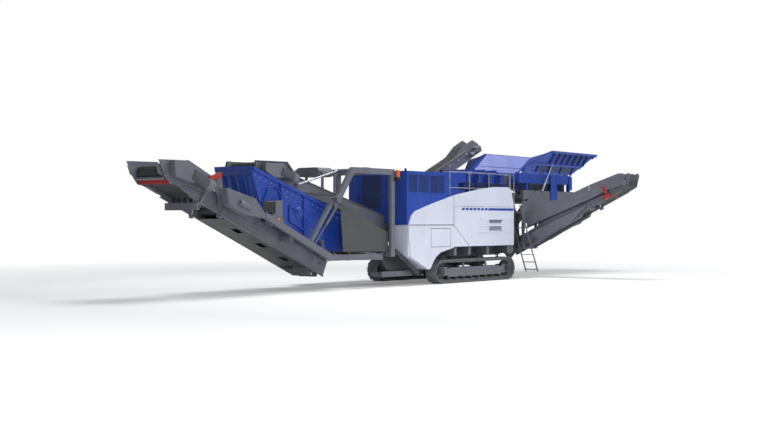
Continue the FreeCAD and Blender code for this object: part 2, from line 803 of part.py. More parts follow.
def rear_wall():
    # lies along +x from its hinge line, narrower at the foot, then turned up to its slope
    foot, lip = hopper_half - 22, lip_half - 30
    sheet = prism_xy([(rear_foot, -foot), (rear_long, -lip), (rear_long, lip), (rear_foot, foot)],
                     -hopper_sheet, 0)
    pieces = [sheet]
    pieces.append(prism_xy([(rear_long - 90, -lip + 20), (rear_long, -lip), (rear_long, lip),
                            (rear_long - 90, lip - 20)], -90, -hopper_sheet))
    pieces.append(block(700, 790, -foot - 60, foot + 60, -90, -hopper_sheet))
    for number in range(7):
        y = -1200 + number * 400
        pieces.append(block(60, rear_long - 40, y - 12, y + 12, -80, -hopper_sheet))
    for y in (-1000.0, 0.0, 1000.0):
        pieces.append(rod((0, y - 80, 0), (0, y + 80, 0), hinge_radius - 6))
        pieces.append(block(0, rear_foot + 20, y - 80, y + 80, -12, 0))
    wall = joined(pieces)
    wall.rotate(V(0, 0, 0), V(0, 1, 0), -math.degrees(rear_fall))
    wall.translate(V(hopper_rear, 0, hopper_low))
    return wall


keep("hopper_wall_rear", rear_wall())


def hinge_blocks():
    # fixed knuckles on the hopper frame, one each side of every knuckle of a wall
    pieces = []
    foot = hopper_low - hinge_radius - 6
    for side_sign in (-1, 1):
        y = side_sign * hopper_half
        for x in hinge_x:
            for x0 in (x - 60 - seat, x + 160 + seat):
                pieces.append(joined([rod((x0, y, hopper_low), (x0 + 60, y, hopper_low), hinge_radius),
                                      block(x0, x0 + 60, y - 22, y + 22, foot, hopper_low)]))
    for y in (-1000.0, 0.0, 1000.0):
        for y0 in (y - 140 - seat, y + 80 + seat):
            pieces.append(joined([rod((hopper_rear, y0, hopper_low), (hopper_rear, y0 + 60, hopper_low),
                                      hinge_radius),
                                  block(hopper_rear - 60, hopper_rear + 10, y0, y0 + 60, foot, hopper_low)]))
    return Part.makeCompound(pieces)


keep("hopper_hinges", hinge_blocks())


# Conveyors. Each is modelled along +x from its tail drum's centre, then turned and moved.

def path_of(tail, head):
    dx, dy, dz = (head[i] - tail[i] for i in range(3))
    flat = math.hypot(dx, dy)
    return math.hypot(flat, dz), math.degrees(math.atan2(dz, flat)), math.degrees(math.atan2(dy, dx))


def put(shape, tail, head):
    length, slope, yaw = path_of(tail, head)
    shape = shape.copy()
    shape.rotate(V(0, 0, 0), V(0, 1, 0), -slope)
    shape.rotate(V(0, 0, 0), V(0, 0, 1), yaw)
    shape.translate(V(*tail))
    return shape


def belt_loop(s0, s1, half):
    inner, outer = drum_radius + seat, drum_radius + seat + belt_thick
    rings = []
    for radius in (outer, inner):
        a, b = V(s0, -half, 0), V(s1, -half, 0)
        up, out = V(0, 0, radius), V(radius, 0, 0)
        edges = [Part.LineSegment(a + up, b + up).toShape(), Part.Arc(b + up, b + out, b - up).toShape(),
                 Part.LineSegment(b - up, a - up).toShape(), Part.Arc(a - up, a - out, a + up).toShape()]
        rings.append(Part.Face(Part.Wire(edges)).extrude(V(0, 2 * half, 0)))
    return rings[0].cut(rings[1])


def drum(s, half):
    # a drum between its side plates, with a shaft that reaches into them
    return joined([roller((s, -half + 30, 0), (s, half - 30, 0), drum_radius, 24),
                   roller((s, -half - 40, 0), (s, half + 40, 0), 40)])


def conveyor_frame(s0, s1, half, low, high, drums, web=10.0, flange=70.0, roller_pitch=1250.0):
    # two channels with rollers and cross tubes; low and high are the web's edges from the belt's middle
    pieces = []
    for sign in (-1, 1):
        profile = [(half, low), (half + flange, low), (half + flange, low + web), (half + web, low + web),
                   (half + web, high - web), (half + flange, high - web), (half + flange, high), (half, high)]
        pieces.append(prism_yz([(sign * y, z) for y, z in profile], s0, s1))
    for s in drums:
        pieces.append(drum(s, half))
    count = max(2, int((s1 - s0) / roller_pitch))
    for number in range(count):
        s = s0 + (number + 0.7) * (s1 - s0) / (count + 0.4)
        if min(abs(s - d) for d in drums) < drum_radius + 80:
            continue
        pieces.append(roller((s, -half - 5, drum_radius - 50), (s, half + 5, drum_radius - 50), 50))
        pieces.append(block(s + 200, s + 270, -half - 5, half + 5, -60, 20))
    return joined(pieces)


main_long = path_of(main_tail, main_head)[0]
fines_long = path_of(fines_tail, fines_head)[0]
return_long = path_of(return_tail, return_head)[0]
side_long = path_of(side_tail, side_head)[0]


def main_conveyor():
    half = main_half - 70
    body = conveyor_frame(-260, main_long - 900, half, -220, 190, (0.0, main_long))
    cheeks = []
    for sign in (-1, 1):
        y0, y1 = sorted((sign * (half - 0), sign * (half + 70)))
        cheek = prism_xz([(main_long - 3500, 180), (main_long - 3450, 190), (main_long - 1500, 190), (main_long - 950, 500),
                          (main_long + 330, 135), (main_long + 250, -250), (main_long - 900, -300),
                          (main_long - 1900, -200)], y0, y1)
        cheeks.append(cheek.cut(prism_xz([(main_long - 3400, 170), (main_long - 1480, 170),
                                          (main_long - 930, 470), (main_long + 300, 120),
                                          (main_long + 230, -230), (main_long - 900, -280),
                                          (main_long - 1900, -180)],
                                         *sorted((sign * (half + 12), sign * (half + 71))))))
    ties = [rod((main_long - 700, -half - 5, 330), (main_long - 700, half + 5, 330), 40),
            rod((main_long - 700, -half - 5, -262), (main_long - 700, half + 5, -262), 14)]
    gearbox = joined([block(main_long - 260, main_long + 160, -half - 260, -half - 66, -60, 200),
                      rod((main_long, -half - 70, 0), (main_long, -half, 0), 90),
                      block(main_long - 900, main_long - 255, -half - 240, -half - 90, -90, 110),
                      block(main_long - 860, main_long - 300, -half - 92, -half - 8, -60, 60)])
    return joined([body] + cheeks + ties + [gearbox])


keep("main_conveyor", put(main_conveyor(), main_tail, main_head))
keep("main_belt", put(belt_loop(0, main_long, main_half - 70 - 35), main_tail, main_head))


def knuckles(fold, low, half, sign):
    # hinge eyes below a fold: the outer ones belong to the fixed side, the inner ones to the head
    pin = low - pin_drop
    pieces = []
    for side in (-1, 1):
        shift = 0 if sign < 0 else eye_wide + 2 * seat
        y0, y1 = sorted((side * (half + 60 - shift), side * (half + 60 - shift - eye_wide)))
        s0, s1 = sorted((fold + sign * 8, fold + sign * 90))
        pieces.append(rod((fold, y0, pin), (fold, y1, pin), pin_radius))
        pieces.append(block(min(s0, fold), max(s1, fold), y0, y1, pin - 20, pin + 20))
        pieces.append(block(s0, s1, y0, y1, pin - 20, low + 5))
    return pieces


pin_drop = 50.0
pin_radius = 40.0
eye_wide = 50.0


def fines_conveyor():
    half = fines_half - 70
    body = conveyor_frame(-300, fines_fold - 8, half, -330, 190, (0.0, fines_fold - 260))
    return joined([body] + knuckles(fines_fold, -330, half, -1))


def fines_head_part():
    half = fines_half - 70
    body = conveyor_frame(fines_fold + 8, fines_long - 900, half, -330, 190, (fines_fold + 260, fines_long))
    cheeks = []
    for sign in (-1, 1):
        y0, y1 = sorted((sign * half, sign * (half + 12)))
        cheeks.append(prism_xz([(fines_fold + 400, 190), (fines_long - 1150, 205), (fines_long - 380, 390),
                                (fines_long + 520, -10), (fines_long + 330, -200), (fines_long - 300, -235),
                                (fines_long - 1000, -300)], y0, y1))
    cover = block(fines_long - 1000, fines_long - 380, -half - 330, -half - 72, -190, 190)
    neck = block(fines_long - 900, fines_long - 500, -half - 74, -half - 5, -120, 120)
    reducer = joined([block(fines_long - 390, fines_long + 170, -half - 210, -half - 60, -130, 130),
                      rod((fines_long, -half - 70, 0), (fines_long, -half, 0), 90)])
    scraper = block(fines_long + 60, fines_long + 130, -half - 5, half + 5, -260, -205)
    return joined([body] + cheeks + [cover, neck, reducer, scraper] + knuckles(fines_fold, -330, half, 1))


keep("fines_conveyor", put(fines_conveyor(), fines_tail, fines_head))
keep("fines_belt", put(belt_loop(0, fines_fold - 260, fines_half - 105), fines_tail, fines_head))
keep("fines_head", put(fines_head_part(), fines_tail, fines_head))
keep("fines_head_belt", put(belt_loop(fines_fold + 260, fines_long, fines_half - 105), fines_tail,
                            fines_head))


def return_conveyor():
    half = return_half - 60
    body = conveyor_frame(-200, return_long - 500, half, -230, 190, (0.0, return_long), flange=60.0)
    cheeks = []
    for sign in (-1, 1):
        y0, y1 = sorted((sign * half, sign * (half + 10)))
        cheeks.append(prism_xz([(return_long - 1400, 190), (return_long - 700, 400), (return_long - 60, 420),
                                (return_long + 240, 120), (return_long + 200, -210), (return_long - 600, -230)],
                               y0, y1))
    motor = joined([rod((return_long, -half - 160, 0), (return_long, -half, 0), 110),
                    block(return_long - 150, return_long + 120, -half - 60, -half - 8, -130, 130)])
    saddle = block(-150, 150, -half - 5, half + 5, -250, -225)
    return joined([body] + cheeks + [motor, saddle])


turn_radius = 200.0
turn_low = 360.0
turn = rod((return_tail[0], return_tail[1], turn_low), (return_tail[0], return_tail[1], 680), turn_radius)
above_saddle = block(-600, 600, -400, 400, -226, 600)
keep("return_conveyor", joined([put(return_conveyor(), return_tail, return_head),
                                turn.cut(put(above_saddle, return_tail, return_head))]))
keep("return_belt", put(belt_loop(0, return_long, return_half - 90), return_tail, return_head))


def side_conveyor():
    half = side_half - 60
    body = conveyor_frame(-220, side_fold - 8, half, -220, 190, (0.0, side_fold - 240), flange=60.0)
    return joined([body] + knuckles(side_fold, -220, half, -1))


def side_head_part():
    half = side_half - 60
    body = conveyor_frame(side_fold + 8, side_long - 300, half, -220, 190, (side_fold + 240, side_long),
                          flange=60.0)
    cheeks = []
    for sign in (-1, 1):
        y0, y1 = sorted((sign * half, sign * (half + 10)))
        cheeks.append(prism_xz([(side_fold + 300, 190), (side_long - 250, 330), (side_long + 330, 230),
                                (side_long + 330, 120), (side_long + 60, -200), (side_long - 500, -220)],
                               y0, y1))
    motor = rod((side_long, -half - 230, 0), (side_long, -half, 0), 100)
    return joined([body] + cheeks + [motor] + knuckles(side_fold, -220, half, 1))


keep("side_conveyor", put(side_conveyor(), side_tail, side_head))
keep("side_belt", put(belt_loop(0, side_fold - 240, side_half - 90), side_tail, side_head))
keep("side_head", put(side_head_part(), side_tail, side_head))
keep("side_head_belt", put(belt_loop(side_fold + 240, side_long, side_half - 90), side_tail, side_head))


# Magnetic separator above the main conveyor

def main_top(x):
    # upper edge of the main conveyor's sides
    return main_tail[2] + (main_tail[0] - x) * main_rise + 190 * math.sqrt(1 + main_rise ** 2)


def magnet():
    x, z = magnet_place
    pieces = [block(x - 330, x + 330, -350, 350, z - 150, z + 150)]
    for y in (-350, 350):
        pieces.append(rod((x - 330, y, z), (x + 330, y, z), 150))
    for sign in (-1, 1):
        y0, y1 = sorted((sign * 590, sign * 645))
        for x0 in (x - 330, x + 250):
            pieces.append(prism_xz([(x0, main_top(x0) + seat), (x0 + 80, main_top(x0 + 80) + seat), (x0 + 80, z + 20),
                                    (x0, z + 20)], y0, y1))
            pieces.append(block(x0, x0 + 80, *sorted((sign * 400, sign * 645)), z - 30, z + 20))
    return joined(pieces)


magnet_place = (-6930.0, 3720.0)
keep("magnet", magnet())


# Screen unit

def screen_edge_z(x):
    return screen_top - screen_fall * (x - screen_front)


# springs of the screen: place, top of the fixed seat, underside of the screen's foot
spring_seats = [
    (-9900.0, 2160.0, 2330.0),
    (-7600.0, 1150.0, 1400.0),
]
spring_y = 940.0


def screen_box():
    side = [(screen_front, screen_top), (screen_rear, screen_edge_z(screen_rear)), (screen_rear, 1190),
            (-7070, 1200), (-9730, 2050), (-10060, 2400), (-10380, 3430)]
    pieces = []
    for sign in (-1, 1):
        y0, y1 = sorted((sign * (screen_half - screen_plate), sign * screen_half))
        pieces.append(prism_xz(side, y0, y1))
        y2, y3 = sorted((sign * screen_half, sign * (screen_half + 60)))
        top_rim = prism_xz([(screen_front + 60, screen_top - 20), (screen_rear, screen_edge_z(screen_rear)),
                            (screen_rear, screen_edge_z(screen_rear) - 90),
                            (screen_front + 80, screen_top - 120)], y2, y3)
        low_rim = prism_xz([(-9720, 2150), (-7080, 1300), (-7080, 1210), (-9735, 2060)], y2, y3)
        pieces += [top_rim, low_rim]
        for x in (-9300.0, -8300.0, -7300.0, -6450.0):
            top = screen_edge_z(x) - 60
            low = 2050 - (x + 9730) * 0.3195 + 40 if x < -7070 else 1260
            pieces.append(block(x, x + 24, y2, y3, low, top))
        for x, z, foot in spring_seats:
            y4, y5 = sorted((sign * (screen_half - 2), sign * (spring_y + 70)))
            pieces.append(block(x - 90, x + 90, y4, y5, foot, foot + 40))
    inner = screen_half - screen_plate + 1
    # front wall with its lip, tubes across
    pieces.append(prism_xz([(-10480, 3700), (-10450, 3700), (-10130, 2480), (-10160, 2480)], -inner, inner))
    pieces.append(prism_xz([(screen_front, screen_top), (-10380, screen_top - 45), (-10400, 3620),
                            (-10480, 3620)], -inner, inner))
    for x, z in ((-9300.0, 2980.0), (-7900.0, 2480.0), (-6600.0, 2050.0), (-9350.0, 2250.0),
                 (-8100.0, 1900.0), (-6800.0, 1480.0)):
        pieces.append(rod((x, -inner, z), (x, inner, z), 60))
    return joined(pieces)


def screen_decks():
    inner = screen_half - screen_plate - seat
    pieces = []
    for x0, z0, x1, z1 in ((-10240.0, 2900 + 190, -6400.0, 1850.0), (-10060.0, 2560.0, -6400.0, 1340.0)):
        pieces.append(bar_xz((x0, z0), (x1, z1), 30, -inner, inner))
    return Part.makeCompound(pieces)


keep("screen_box", screen_box())
keep("screen_decks", screen_decks().cut(nodes["screen_box"]))


def screen_support():
    pieces = []
    for sign in (-1, 1):
        y0, y1 = sorted((sign * (support_y - 70), sign * (support_y + 70)))
        pieces.append(prism_xz([(-10300, 2430), (-10300, 2230), (-7480, 930), (-6900, 930), (-4950, 900),
                                (-4950, 1110), (-6850, 1110), (-7400, 1130)], y0, y1))
        for x, z, foot in spring_seats:
            pieces.append(block(x - 90, x + 90, *sorted((sign * 850, sign * (support_y - 65))), z - 130, z))
            pieces.append(rod((x, sign * spring_y, z - 5), (x, sign * spring_y, foot - seat), 60))
        # brackets that hold the fines conveyor
        inner = fines_half + seat
        pieces.append(block(-9150, -9010, *sorted((sign * inner, sign * (support_y - 65))), 1560, 1700))
        pieces.append(block(-7300, -7160, *sorted((sign * inner, sign * (support_y - 65))), 940, 1040))
    pieces.append(block(-5060, frame_front, -support_y, support_y, beam_low + 40, 1060))
    # seat of the return conveyor's turntable, beside the far beam
    x, y, z = return_tail
    pieces.append(block(x - 120, x + 120, support_y + 69, support_y + 90, turn_low - 60, 1050))
    pieces.append(block(x - 120, x + 120, support_y + 69, y, turn_low - 60, turn_low - 5))
    pieces.append(rod((x, y, turn_low - 60), (x, y, turn_low - seat), turn_radius))
    return joined(pieces)


keep("screen_support", screen_support())


# Portal that carries the head of the main conveyor and the screen unit
def portal():
    knot, corner = (-7300.0, 2860.0), (-6640.0, 3775.0)
    pieces = []
    for y0 in (portal_near - portal_wide, portal_far):
        y1 = y0 + portal_wide
        pieces.append(bar_xz(knot, corner, 190, y0, y1))
        pieces.append(rod((corner[0], y0, corner[1]), (corner[0], y1, corner[1]), 95))
        pieces.append(rod((knot[0], y0, knot[1]), (knot[0], y1, knot[1]), 120))
        pieces.append(bar_xz(corner, (portal_foot, corner[1]), 190, y0, y1))
        pieces.append(block(portal_foot - 90, portal_foot + 90, y0, y1, portal_base, corner[1] + 95))
    for x in (-6250.0, -4650.0):
        pieces.append(rod((x, portal_near - 10, corner[1]), (x, portal_far + 10, corner[1]), 60))
    return joined(pieces)


keep("portal_frame", portal())


def tie_rods():
    groups = []
    for y_bar, y_in, y_out in ((-760.0, -main_half + 58 - seat, portal_near + seat),
                               (760.0, main_half - 58 + seat, portal_far - seat)):
        low, high = (-8440.0, y_bar, 3290.0), (-6640.0, y_bar, 3775.0)
        groups.append(joined([rod(low, high, 28), rod((low[0], y_in, low[2]), (low[0], y_bar, low[2]), 45),
                              rod((high[0], y_out, high[2]), (high[0], y_bar, high[2]), 45)]))
    return Part.makeCompound(groups)


keep("tie_rods", tie_rods())


def struts():
    # from the knots of the portal down to the beams under the screen
    groups = []
    for sign, gap_side in ((-1, -portal_near - seat), (1, portal_far + portal_wide + seat)):
        y0, y1 = sorted((sign * 1085, sign * 1215))
        leg = bar_xz((-7300, 2860), (-8330, 1560), 100, y0, y1)
        boss = rod((-7300, sign * 1150, 2860), (-7300, sign * gap_side, 2860), 70)
        cylinder = rod((-7200, sign * 1150, 2560), (-7650, sign * 1150, 2040), 45)
        thin = rod((-7640, sign * 1150, 2052), (-8180, sign * 1150, 1428), 25)
        lug = bar_xz((-7300, 2860), (-7180, 2520), 90, *sorted((sign * 1110, sign * 1190)))
        groups.append(joined([leg, boss, cylinder, thin, lug]).cut(nodes["screen_support"]))
    return Part.makeCompound(groups)


keep("screen_struts", struts())


def side_guard():
    plate_part = prism_xz([(-7120, 2700), (-4760, 1800), (-4760, 1180), (-6980, 1200)], -1282, -1270)
    pieces = [plate_part]
    for x in (-6700.0, -5050.0):
        pieces.append(block(x, x + 60, -1275, -1165, 1110 + seat, 1250))
    rail = bar_xz((-7110, 2690), (-4770, 1795), 50, -1272, -1240)
    return joined(pieces + [rail])


keep("side_guard", side_guard())


def cross_conveyor():
    # carries what stays on the upper deck over to the return conveyor
    half = 240.0
    body = conveyor_frame(-200, 2080, half, -170, 190, (0.0, 1900.0), flange=50.0)
    return body


cross_tail = (-5560.0, -560.0, 1500.0)
cross_head = (-5560.0, 1340.0, 1500.0)
keep("cross_conveyor", put(cross_conveyor(), cross_tail, cross_head))
keep("cross_belt", put(belt_loop(0, 1900, 205), cross_tail, cross_head))


def cross_stand():
    pieces = []
    for sign in (-1, 1):
        y0, y1 = sorted((sign * 1090, sign * 1210))
        if sign > 0:
            for x in (-5850.0, -5350.0):
                pieces.append(block(x, x + 80, y0, y1, 1110 + seat, 1330 - seat))
    for x in (-5850.0, -5350.0):
        pieces.append(block(x, x + 80, -760, -700, 1140, 1330 - seat))
    pieces.append(block(-5850, -5270, -1210, -700, 1110 + seat, 1150))
    return Part.makeCompound([joined(pieces[2:]), pieces[0], pieces[1]])


keep("cross_stand", cross_stand())


side_rise = (side_head[2] - side_tail[2]) / (side_tail[1] - side_head[1])


def side_low(y):
    # lower edge of the side conveyor's sides
    return side_tail[2] + (side_tail[1] - y) * side_rise - 220 * math.sqrt(1 + side_rise ** 2)


def side_mount():
    # posts from the outer rail, a cross tube under the side conveyor and two props
    x_mid = side_tail[0]
    pieces = []
    for x in (x_mid - 500, x_mid + 420):
        pieces.append(block(x, x + 80, -1290, -1190, 1090, neck_high - 120))
    pieces.append(prism_yz([(-1290, 1090), (-1190, 1090), (-1190, side_low(-1190) - seat),
                            (-1290, side_low(-1290) - seat)], x_mid - 500, x_mid + 500))
    for x in (x_mid - 340, x_mid + 260):
        pieces.append(bar_yz((-1250, 1140), (-3700, side_low(-3700) - 70), 90, x, x + 80))
        pieces.append(prism_yz([(-3620, side_low(-3620) - 60), (-3620, side_low(-3620) - seat),
                                (-3740, side_low(-3740) - seat), (-3740, side_low(-3740) - 90)], x, x + 80))
    return joined(pieces)


keep("side_mount", side_mount())


def cradle():
    # rest for the return conveyor on the far side
    low = return_tail[2]
    run = 2080.0 - return_tail[0]
    rise = (return_head[2] - return_tail[2]) / math.hypot(return_head[0] - return_tail[0],
                                                          return_head[1] - return_tail[1])
    top = low + run * rise - 300
    pieces = [block(2080, 2220, beam_out - 10, 1320, beam_low + 100, beam_high - 60),
              block(2080, 2220, 1180, 1320, beam_high - 70, top),
              block(2080, 2220, 1040, 1440, top - 60, top)]
    return joined(pieces).cut(nodes["main_frame"])


keep("return_cradle", cradle())


# Beacon on the portal's corner post
keep("beacon", joined([Part.makeCylinder(60, 30, V(portal_foot, portal_near - 60, 3870.3)),
                       Part.makeCylinder(50, 130, V(portal_foot, portal_near - 60, 3900))]))


# The part's own origin: on the ground, in the middle of its box

def main():
    box = FreeCAD.BoundBox()
    for shape in nodes.values():
        box.add(shape.optimalBoundingBox(False, False))
    shift = V(-(box.XMin + box.XMax) / 2, -(box.YMin + box.YMax) / 2, -box.ZMin)
    print("shift", round(shift.x, 3), round(shift.y, 3), round(shift.z, 3))
    os.makedirs("parts", exist_ok=True)
    for name, shape in nodes.items():
        placed = shape.copy()
        placed.translate(shift)
        placed.exportStep("parts/" + name + ".step")


main()
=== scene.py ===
import math

import bpy
import numpy as np
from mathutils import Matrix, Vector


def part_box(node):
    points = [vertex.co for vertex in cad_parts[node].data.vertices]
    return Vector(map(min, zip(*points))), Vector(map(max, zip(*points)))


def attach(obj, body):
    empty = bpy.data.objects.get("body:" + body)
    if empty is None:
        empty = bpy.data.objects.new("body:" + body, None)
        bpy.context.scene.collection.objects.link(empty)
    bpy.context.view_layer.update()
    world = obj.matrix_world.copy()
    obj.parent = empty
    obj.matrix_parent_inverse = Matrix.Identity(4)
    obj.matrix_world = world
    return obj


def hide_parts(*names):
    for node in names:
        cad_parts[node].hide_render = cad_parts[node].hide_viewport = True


# Looks of a crawler mobile crusher with a screen unit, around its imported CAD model.
# Places are written in the machine's own millimetres: origin on the ground under the
# middle of the tracks, x towards the hopper, -y the service side, z up.

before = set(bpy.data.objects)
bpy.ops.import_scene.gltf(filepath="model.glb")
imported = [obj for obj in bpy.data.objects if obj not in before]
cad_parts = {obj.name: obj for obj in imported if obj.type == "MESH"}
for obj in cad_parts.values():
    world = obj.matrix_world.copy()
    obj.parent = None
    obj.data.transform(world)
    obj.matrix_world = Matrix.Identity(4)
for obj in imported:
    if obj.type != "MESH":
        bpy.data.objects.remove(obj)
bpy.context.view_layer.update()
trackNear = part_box("track_near")
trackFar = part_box("track_far")
machineOrigin = np.array([
    (trackNear[0][0] + trackNear[1][0]) / 2,
    (trackNear[0][1] + trackFar[1][1]) / 2,
    0.0,
])
print("frame loaded,", len(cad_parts), "nodes")


def toRow(points):
    # machine millimetres to the metres of the row's frame
    return np.asarray(points, dtype=float) / 1000.0 + machineOrigin


# ---- materials ----

def linear(hexColour):
    # sRGB hex to linear: c/12.92 below 0.04045, ((c + 0.055) / 1.055) ^ 2.4 above
    c = np.array([int(hexColour[i:i + 2], 16) for i in (1, 3, 5)]) / 255.0
    c = np.where(c <= 0.04045, c / 12.92, ((c + 0.055) / 1.055) ** 2.4)
    return (*(float(v) for v in c), 1.0)


def addNode(tree, kind, inputs=None, **settings):
    # one node with its settings; a socket given as an input is linked, a value is set
    node = tree.nodes.new(kind)
    for key, value in settings.items():
        setattr(node, key, value)
    for key, value in (inputs or {}).items():
        socket = node.inputs[key]
        if isinstance(value, bpy.types.NodeSocket):
            tree.links.new(value, socket)
        else:
            socket.default_value = value
    return node


def startMaterial(name):
    material = bpy.data.materials.new(name)
    material.use_nodes = True
    tree = material.node_tree
    tree.nodes.clear()
    place = addNode(tree, "ShaderNodeTexCoord").outputs["Object"]
    return material, tree, place


def finishMaterial(tree, colour, roughness, normal, **fixed):
    inputs = {"Base Color": colour, "Roughness": roughness, "Normal": normal}
    inputs.update({key.replace("_", " "): value for key, value in fixed.items()})
    shader = addNode(tree, "ShaderNodeBsdfPrincipled", inputs)
    addNode(tree, "ShaderNodeOutputMaterial", {"Surface": shader.outputs["BSDF"]})


def mixColour(tree, share, first, second, blend="MIX"):
    node = addNode(tree, "ShaderNodeMix", {0: share, 6: first, 7: second},
                   data_type="RGBA", blend_type=blend)
    return node.outputs[2]


def ramp(tree, value, low, high, start=0.0, end=1.0):
    node = addNode(tree, "ShaderNodeMapRange",
                   {"Value": value, "From Min": low, "From Max": high, "To Min": start, "To Max": end})
    return node.outputs["Result"]


def noise(tree, place, scale, detail=4.0, stretch=None):
    if stretch:
        place = addNode(tree, "ShaderNodeMapping", {"Vector": place, "Scale": stretch}).outputs["Vector"]
    return addNode(tree, "ShaderNodeTexNoise",
                   {"Vector": place, "Scale": scale, "Detail": detail}).outputs["Fac"]


def edgeWear(tree, radius):
    # 1 on outer edges: how far the rounded normal leans away from the flat one
    rounded = addNode(tree, "ShaderNodeBevel", {"Radius": radius}, samples=4).outputs["Normal"]
    flat = addNode(tree, "ShaderNodeNewGeometry").outputs["Normal"]
    along = addNode(tree, "ShaderNodeVectorMath", {0: rounded, 1: flat},
                    operation="DOT_PRODUCT").outputs["Value"]
    return rounded, ramp(tree, along, 0.985, 0.90)


def upFacing(tree):
    normal = addNode(tree, "ShaderNodeNewGeometry").outputs["Normal"]
    return addNode(tree, "ShaderNodeSeparateXYZ", {"Vector": normal}).outputs["Z"]


def timesValue(tree, first, second):
    return addNode(tree, "ShaderNodeMath", {0: first, 1: second}, operation="MULTIPLY").outputs["Value"]


stoneDust = "#A7A39A"


def machineEnamel(name, tone, darker, rough=0.34, dust=0.35, edge="#8C8F96", wear=0.35, edgeRadius=0.006):
    # two-pack enamel sprayed on steel plate: satin gloss with a faint orange peel, a slow
    # change of tone over a metre, stone dust on what faces up, thin wear on the outer edges
    material, tree, place = startMaterial(name)
    slow = noise(tree, place, 0.9, 2.0)
    streak = noise(tree, place, 3.0, 3.0, (1.0, 1.0, 0.16))
    fine = noise(tree, place, 38.0, 3.0)
    colour = mixColour(tree, ramp(tree, slow, 0.35, 0.7), linear(tone), linear(darker))
    rounded, edges = edgeWear(tree, edgeRadius)
    lying = ramp(tree, upFacing(tree), 0.45, 1.0)
    powder = timesValue(tree, timesValue(tree, lying, ramp(tree, fine, 0.3, 0.75)), dust)
    washed = timesValue(tree, ramp(tree, streak, 0.52, 0.75), dust * 0.22)
    film = addNode(tree, "ShaderNodeMath", {0: powder, 1: washed}, operation="MAXIMUM").outputs["Value"]
    colour = mixColour(tree, film, colour, linear(stoneDust))
    chips = timesValue(tree, timesValue(tree, edges, ramp(tree, fine, 0.5, 0.72)), wear)
    colour = mixColour(tree, chips, colour, linear(edge))
    gloss = addNode(tree, "ShaderNodeMath", {0: ramp(tree, film, 0.0, 0.4, rough, 0.72),
                                             1: ramp(tree, fine, 0.3, 0.8, -0.03, 0.05)}, operation="ADD")
    bump = addNode(tree, "ShaderNodeBump", {"Strength": 0.05, "Distance": 0.002, "Height": fine,
                                            "Normal": rounded}).outputs["Normal"]
    finishMaterial(tree, colour, gloss.outputs["Value"], bump, IOR=1.5, Coat_Weight=0.12, Coat_Roughness=0.2)
    return material


def rolledSteel(name, tone, rust, bright, rustShare=0.35, polish=0.75, edgeRadius=0.008):
    # manganese steel of the shoes and links: brown rust in the hollows, dried soil, corners
    # rubbed bright by the ground
    material, tree, place = startMaterial(name)
    blotch = noise(tree, place, 7.0, 6.0)
    fine = noise(tree, place, 60.0, 4.0)
    colour = mixColour(tree, ramp(tree, blotch, 0.42, 0.72, 0.0, rustShare), linear(tone), linear(rust))
    rounded, edges = edgeWear(tree, edgeRadius)
    rubbed = timesValue(tree, timesValue(tree, edges, ramp(tree, fine, 0.32, 0.6)), polish)
    lying = timesValue(tree, ramp(tree, upFacing(tree), 0.3, 1.0), ramp(tree, blotch, 0.35, 0.65, 0.0, 0.35))
    colour = mixColour(tree, lying, colour, linear(stoneDust))
    colour = mixColour(tree, rubbed, colour, linear(bright))
    metal = ramp(tree, rubbed, 0.0, 0.7, 0.25, 0.9)
    rough = ramp(tree, rubbed, 0.0, 0.7, 0.68, 0.36)
    bump = addNode(tree, "ShaderNodeBump", {"Strength": 0.25, "Distance": 0.003, "Height": fine,
                                            "Normal": rounded}).outputs["Normal"]
    finishMaterial(tree, colour, rough, bump, Metallic=metal)
    return material


def zincSteel(name, tone, darker, rough=0.42):
    # hot-dip galvanised steel: flat crystals about 20 mm wide, each a little lighter or darker
    material, tree, place = startMaterial(name)
    cells = addNode(tree, "ShaderNodeTexVoronoi", {"Vector": place, "Scale": 50.0}).outputs["Color"]
    shade = addNode(tree, "ShaderNodeSeparateColor", {"Color": cells}).outputs["Red"]
    colour = mixColour(tree, shade, linear(tone), linear(darker))
    rounded = edgeWear(tree, 0.003)[0]
    gloss = ramp(tree, shade, 0.0, 1.0, rough - 0.08, rough + 0.1)
    finishMaterial(tree, colour, gloss, rounded, Metallic=0.85)
    return material


def mouldedRubber(name, tone, dusty, dust=0.5, along=(1.0, 1.0, 1.0)):
    # vulcanised belt rubber: matt black, greyed by stone dust in long rubbed streaks
    material, tree, place = startMaterial(name)
    streak = noise(tree, place, 6.0, 5.0, along)
    grit = noise(tree, place, 120.0, 3.0)
    share = timesValue(tree, ramp(tree, streak, 0.35, 0.7), dust)
    colour = mixColour(tree, share, linear(tone), linear(dusty))
    bump = addNode(tree, "ShaderNodeBump",
                   {"Strength": 0.2, "Distance": 0.002, "Height": grit}).outputs["Normal"]
    finishMaterial(tree, colour, ramp(tree, share, 0.0, 0.5, 0.55, 0.85), bump, IOR=1.52)
    return material


def clearLens(name, tone, glow):
    # injection moulded polycarbonate with a fine prism grid of 6 mm, drawn at 12 mm to show
    material, tree, place = startMaterial(name)
    prisms = addNode(tree, "ShaderNodeTexWave", {"Vector": place, "Scale": 26.0},
                     bands_direction="Z").outputs["Fac"]
    # painted highlight: the lighter bands stand in for light caught in the prisms
    colour = mixColour(tree, prisms, linear(tone), linear(glow))
    bump = addNode(tree, "ShaderNodeBump",
                   {"Strength": 0.3, "Distance": 0.002, "Height": prisms}).outputs["Normal"]
    finishMaterial(tree, colour, 0.12, bump, IOR=1.58, Coat_Weight=0.5)
    return material


